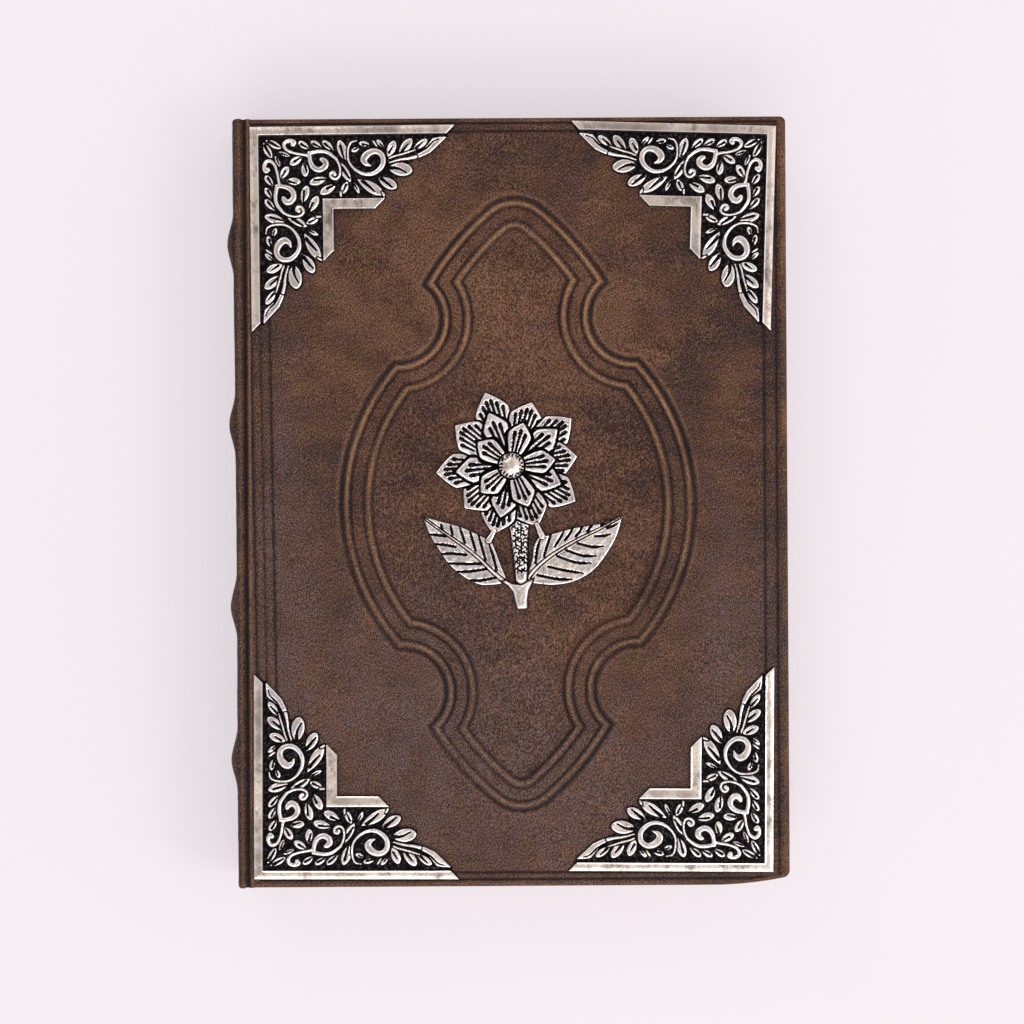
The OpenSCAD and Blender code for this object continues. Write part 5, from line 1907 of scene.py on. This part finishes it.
@dataclass(frozen=True)
class Lamp:
    """Soft rectangular lamp aimed at the book, its place and sizes in metres."""

    name: str
    place: Place
    size: Pair
    power: float
    colour: Colour = (1.0, 0.985, 0.97)

    def build(self) -> None:
        """Builds the lamp."""
        data = bpy.data.lights.new(self.name, "AREA")
        data.shape = "RECTANGLE"
        data.size, data.size_y = self.size
        data.energy = self.power
        data.color = self.colour
        lamp = bpy.data.objects.new(self.name, data)
        lamp.location = self.place
        lamp.rotation_euler = (-lamp.location).to_track_quat("-Z", "Y").to_euler()
        bpy.context.scene.collection.objects.link(lamp)


@dataclass(frozen=True)
class Studio:
    """Pale floor, even surrounding light, soft lamps and the camera straight above."""

    view_place: Pair = (0.99, -3.26)
    view_height: float = 924.7
    view_turn: float = -0.35
    floor_colour: Colour = (0.90, 0.83, 0.885)
    backdrop: Colour = (0.905, 0.85, 0.90)
    horizon_level: float = 0.6
    ring_level: float = 0.8
    dark_share: float = 0.58
    dark_way: Place = (-0.07, 0.11, 0.9915)
    side_light: Pair = (0.28, -0.34)
    shadow_lift: float = 0.56
    backdrop_top: Pair = (0.2, 0.4)
    backdrop_gain: float = 1.11
    dark_rim: Pair = (0.93, 0.997)
    lens: float = 100
    sensor: float = 36
    lamps: tuple[Lamp, ...] = (
        Lamp("lamp_right", (0.85, -0.35, 1.25), (0.45, 0.6), 4.0),
        Lamp("lamp_tail", (-0.15, -0.85, 1.25), (1.1, 0.5), 4.0),
        Lamp("lamp_head", (-0.6, 0.85, 1.2), (0.7, 0.7), 2.6),
    )

    def floor_finish(self) -> Material:
        """Builds the material of the floor: matt card with faint clouds."""
        graph = MaterialGraph("floor_card")
        cloud = graph.noise(object_place(graph), 5.0, 3)
        darker = tuple(value * 0.985 for value in self.floor_colour)
        colour = graph.mix(graph.remap(cloud, 0.3, 0.7), darker, self.floor_colour)
        graph.feed(graph.shader, {"Base Color": colour})
        graph.fix(Roughness=0.9, Specular_IOR_Level=0.1)
        plain = graph.node("Emission", {"Color": (*self.backdrop, 1)})
        seen = graph.times(seen_rays(graph), self.shadow_lift)
        shown = graph.node("MixShader", {0: seen, 1: graph.shader.outputs[0], 2: plain.outputs[0]})
        graph.feed(graph.tree.nodes["Material Output"], {"Surface": shown.outputs[0]})
        return graph.material

    def build_floor(self) -> None:
        """Builds the floor under the book."""
        side = np.linspace(-2, 2, 9)
        x, y = np.meshgrid(side, side)
        points = np.stack([x, y, np.zeros_like(x)], axis=-1).reshape(-1, 3)
        mesh = bpy.data.meshes.new("floor")
        mesh.from_pydata(points.tolist(), [], grid_faces(9, 9, wrap=False).tolist())
        mesh.materials.append(self.floor_finish())
        floor = bpy.data.objects.new("floor", mesh)
        bpy.context.scene.collection.objects.link(floor)

    def build_world(self) -> None:
        """Builds the surrounding light, with a pale backdrop for what the camera sees of it."""
        world = bpy.data.worlds.new("studio")
        world.use_nodes = True
        bpy.context.scene.world = world
        graph = Graph(world.node_tree)
        light = world.node_tree.nodes["Background"]
        light.inputs["Color"].default_value = (1.0, 0.985, 0.99, 1)
        place = graph.node("TexCoord").outputs["Generated"]
        way = graph.node("SeparateXYZ", {0: place}).outputs
        level = graph.remap(way["Z"], 0.0, 0.5, self.horizon_level, self.ring_level)
        facing = graph.node("VectorMath", {0: place, 1: self.dark_way}, operation="DOT_PRODUCT")
        darker = graph.remap(facing.outputs["Value"], *self.dark_rim, 1.0, self.dark_share)
        level = graph.times(level, darker)
        for axis, amount in zip("XY", self.side_light):
            level = graph.plus(level, graph.times(way[axis], amount))
        graph.feed(light, {"Strength": level})
        above = graph.remap(way["Z"], *self.backdrop_top)
        overhead = graph.maths("SUBTRACT", graph.times(level, self.backdrop_gain), 1.0)
        strength = graph.plus(1.0, graph.times(above, overhead))
        seen = graph.node("Background", {"Color": (*self.backdrop, 1), "Strength": strength})
        shown = graph.node("MixShader", {0: seen_rays(graph), 1: light.outputs[0], 2: seen.outputs[0]})
        graph.feed(world.node_tree.nodes["World Output"], {"Surface": shown.outputs[0]})

    def build_camera(self, sizes: BookSizes) -> None:
        """Builds the camera above the cover's face."""
        data = bpy.data.cameras.new("camera")
        data.lens = self.lens
        data.sensor_width = self.sensor
        data.clip_start = 0.05
        camera = bpy.data.objects.new("camera", data)
        height = (sizes.face_z + self.view_height) * MM
        camera.location = (self.view_place[0] * MM, self.view_place[1] * MM, height)
        camera.rotation_euler = (0, 0, math.radians(self.view_turn))
        bpy.context.scene.collection.objects.link(camera)
        bpy.context.scene.camera = camera

    def build(self, sizes: BookSizes) -> None:
        """Builds the whole studio."""
        bpy.context.scene.view_settings.view_transform = "Standard"
        self.build_floor()
        self.build_world()
        self.build_camera(sizes)
        for lamp in self.lamps:
            lamp.build()


def main() -> None:
    """Builds the studio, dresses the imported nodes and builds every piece."""
    logging.basicConfig(level=logging.INFO, format="%(name)s %(message)s")
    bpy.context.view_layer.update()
    sizes = BookSizes.from_frame()
    groups = Groups()
    Studio().build(sizes)

    leather = LeatherFinish("calf_leather").build(groups)
    plain_leather = LeatherFinish("calf_leather_under", tooling=False).build(groups)
    metal = CastMetalFinish("cast_white_metal").build(groups)
    paper = PaperFinish("laid_paper").build(groups)
    leaf_edges = PaperFinish("leaf_edges", leaf_stripes=True).build(groups)
    board = BoardFinish("pulp_board").build(groups)
    lining = BoardFinish("woven_lining", pale=(0.52, 0.46, 0.34), dark=(0.34, 0.28, 0.19)).build(groups)
    silk = SilkFinish("headband_silk_threads").build(groups)

    dress(paper, "front_flyleaf", "back_flyleaf", "front_pastedown", "back_pastedown")
    dress(board, "front_board", "back_board", "frame_card")
    dress(lining, "spine_lining")
    dress(plain_leather, *(f"raised_band_{number}" for number in range(1, 5)))

    for side in CoverSide:
        CoverSkin(side, sizes).build(leather)
        JointStrip(side, sizes).build(leather)
    SpineSkin(sizes).build(leather)
    LeafBlock(sizes).build(leaf_edges)
    for node in ("headband", "tailband"):
        Headband(node).build(silk)
    CornerPlate().build(metal, sizes)
    FlowerCasting().build(metal, sizes)


if __name__ == "__main__":
    main()
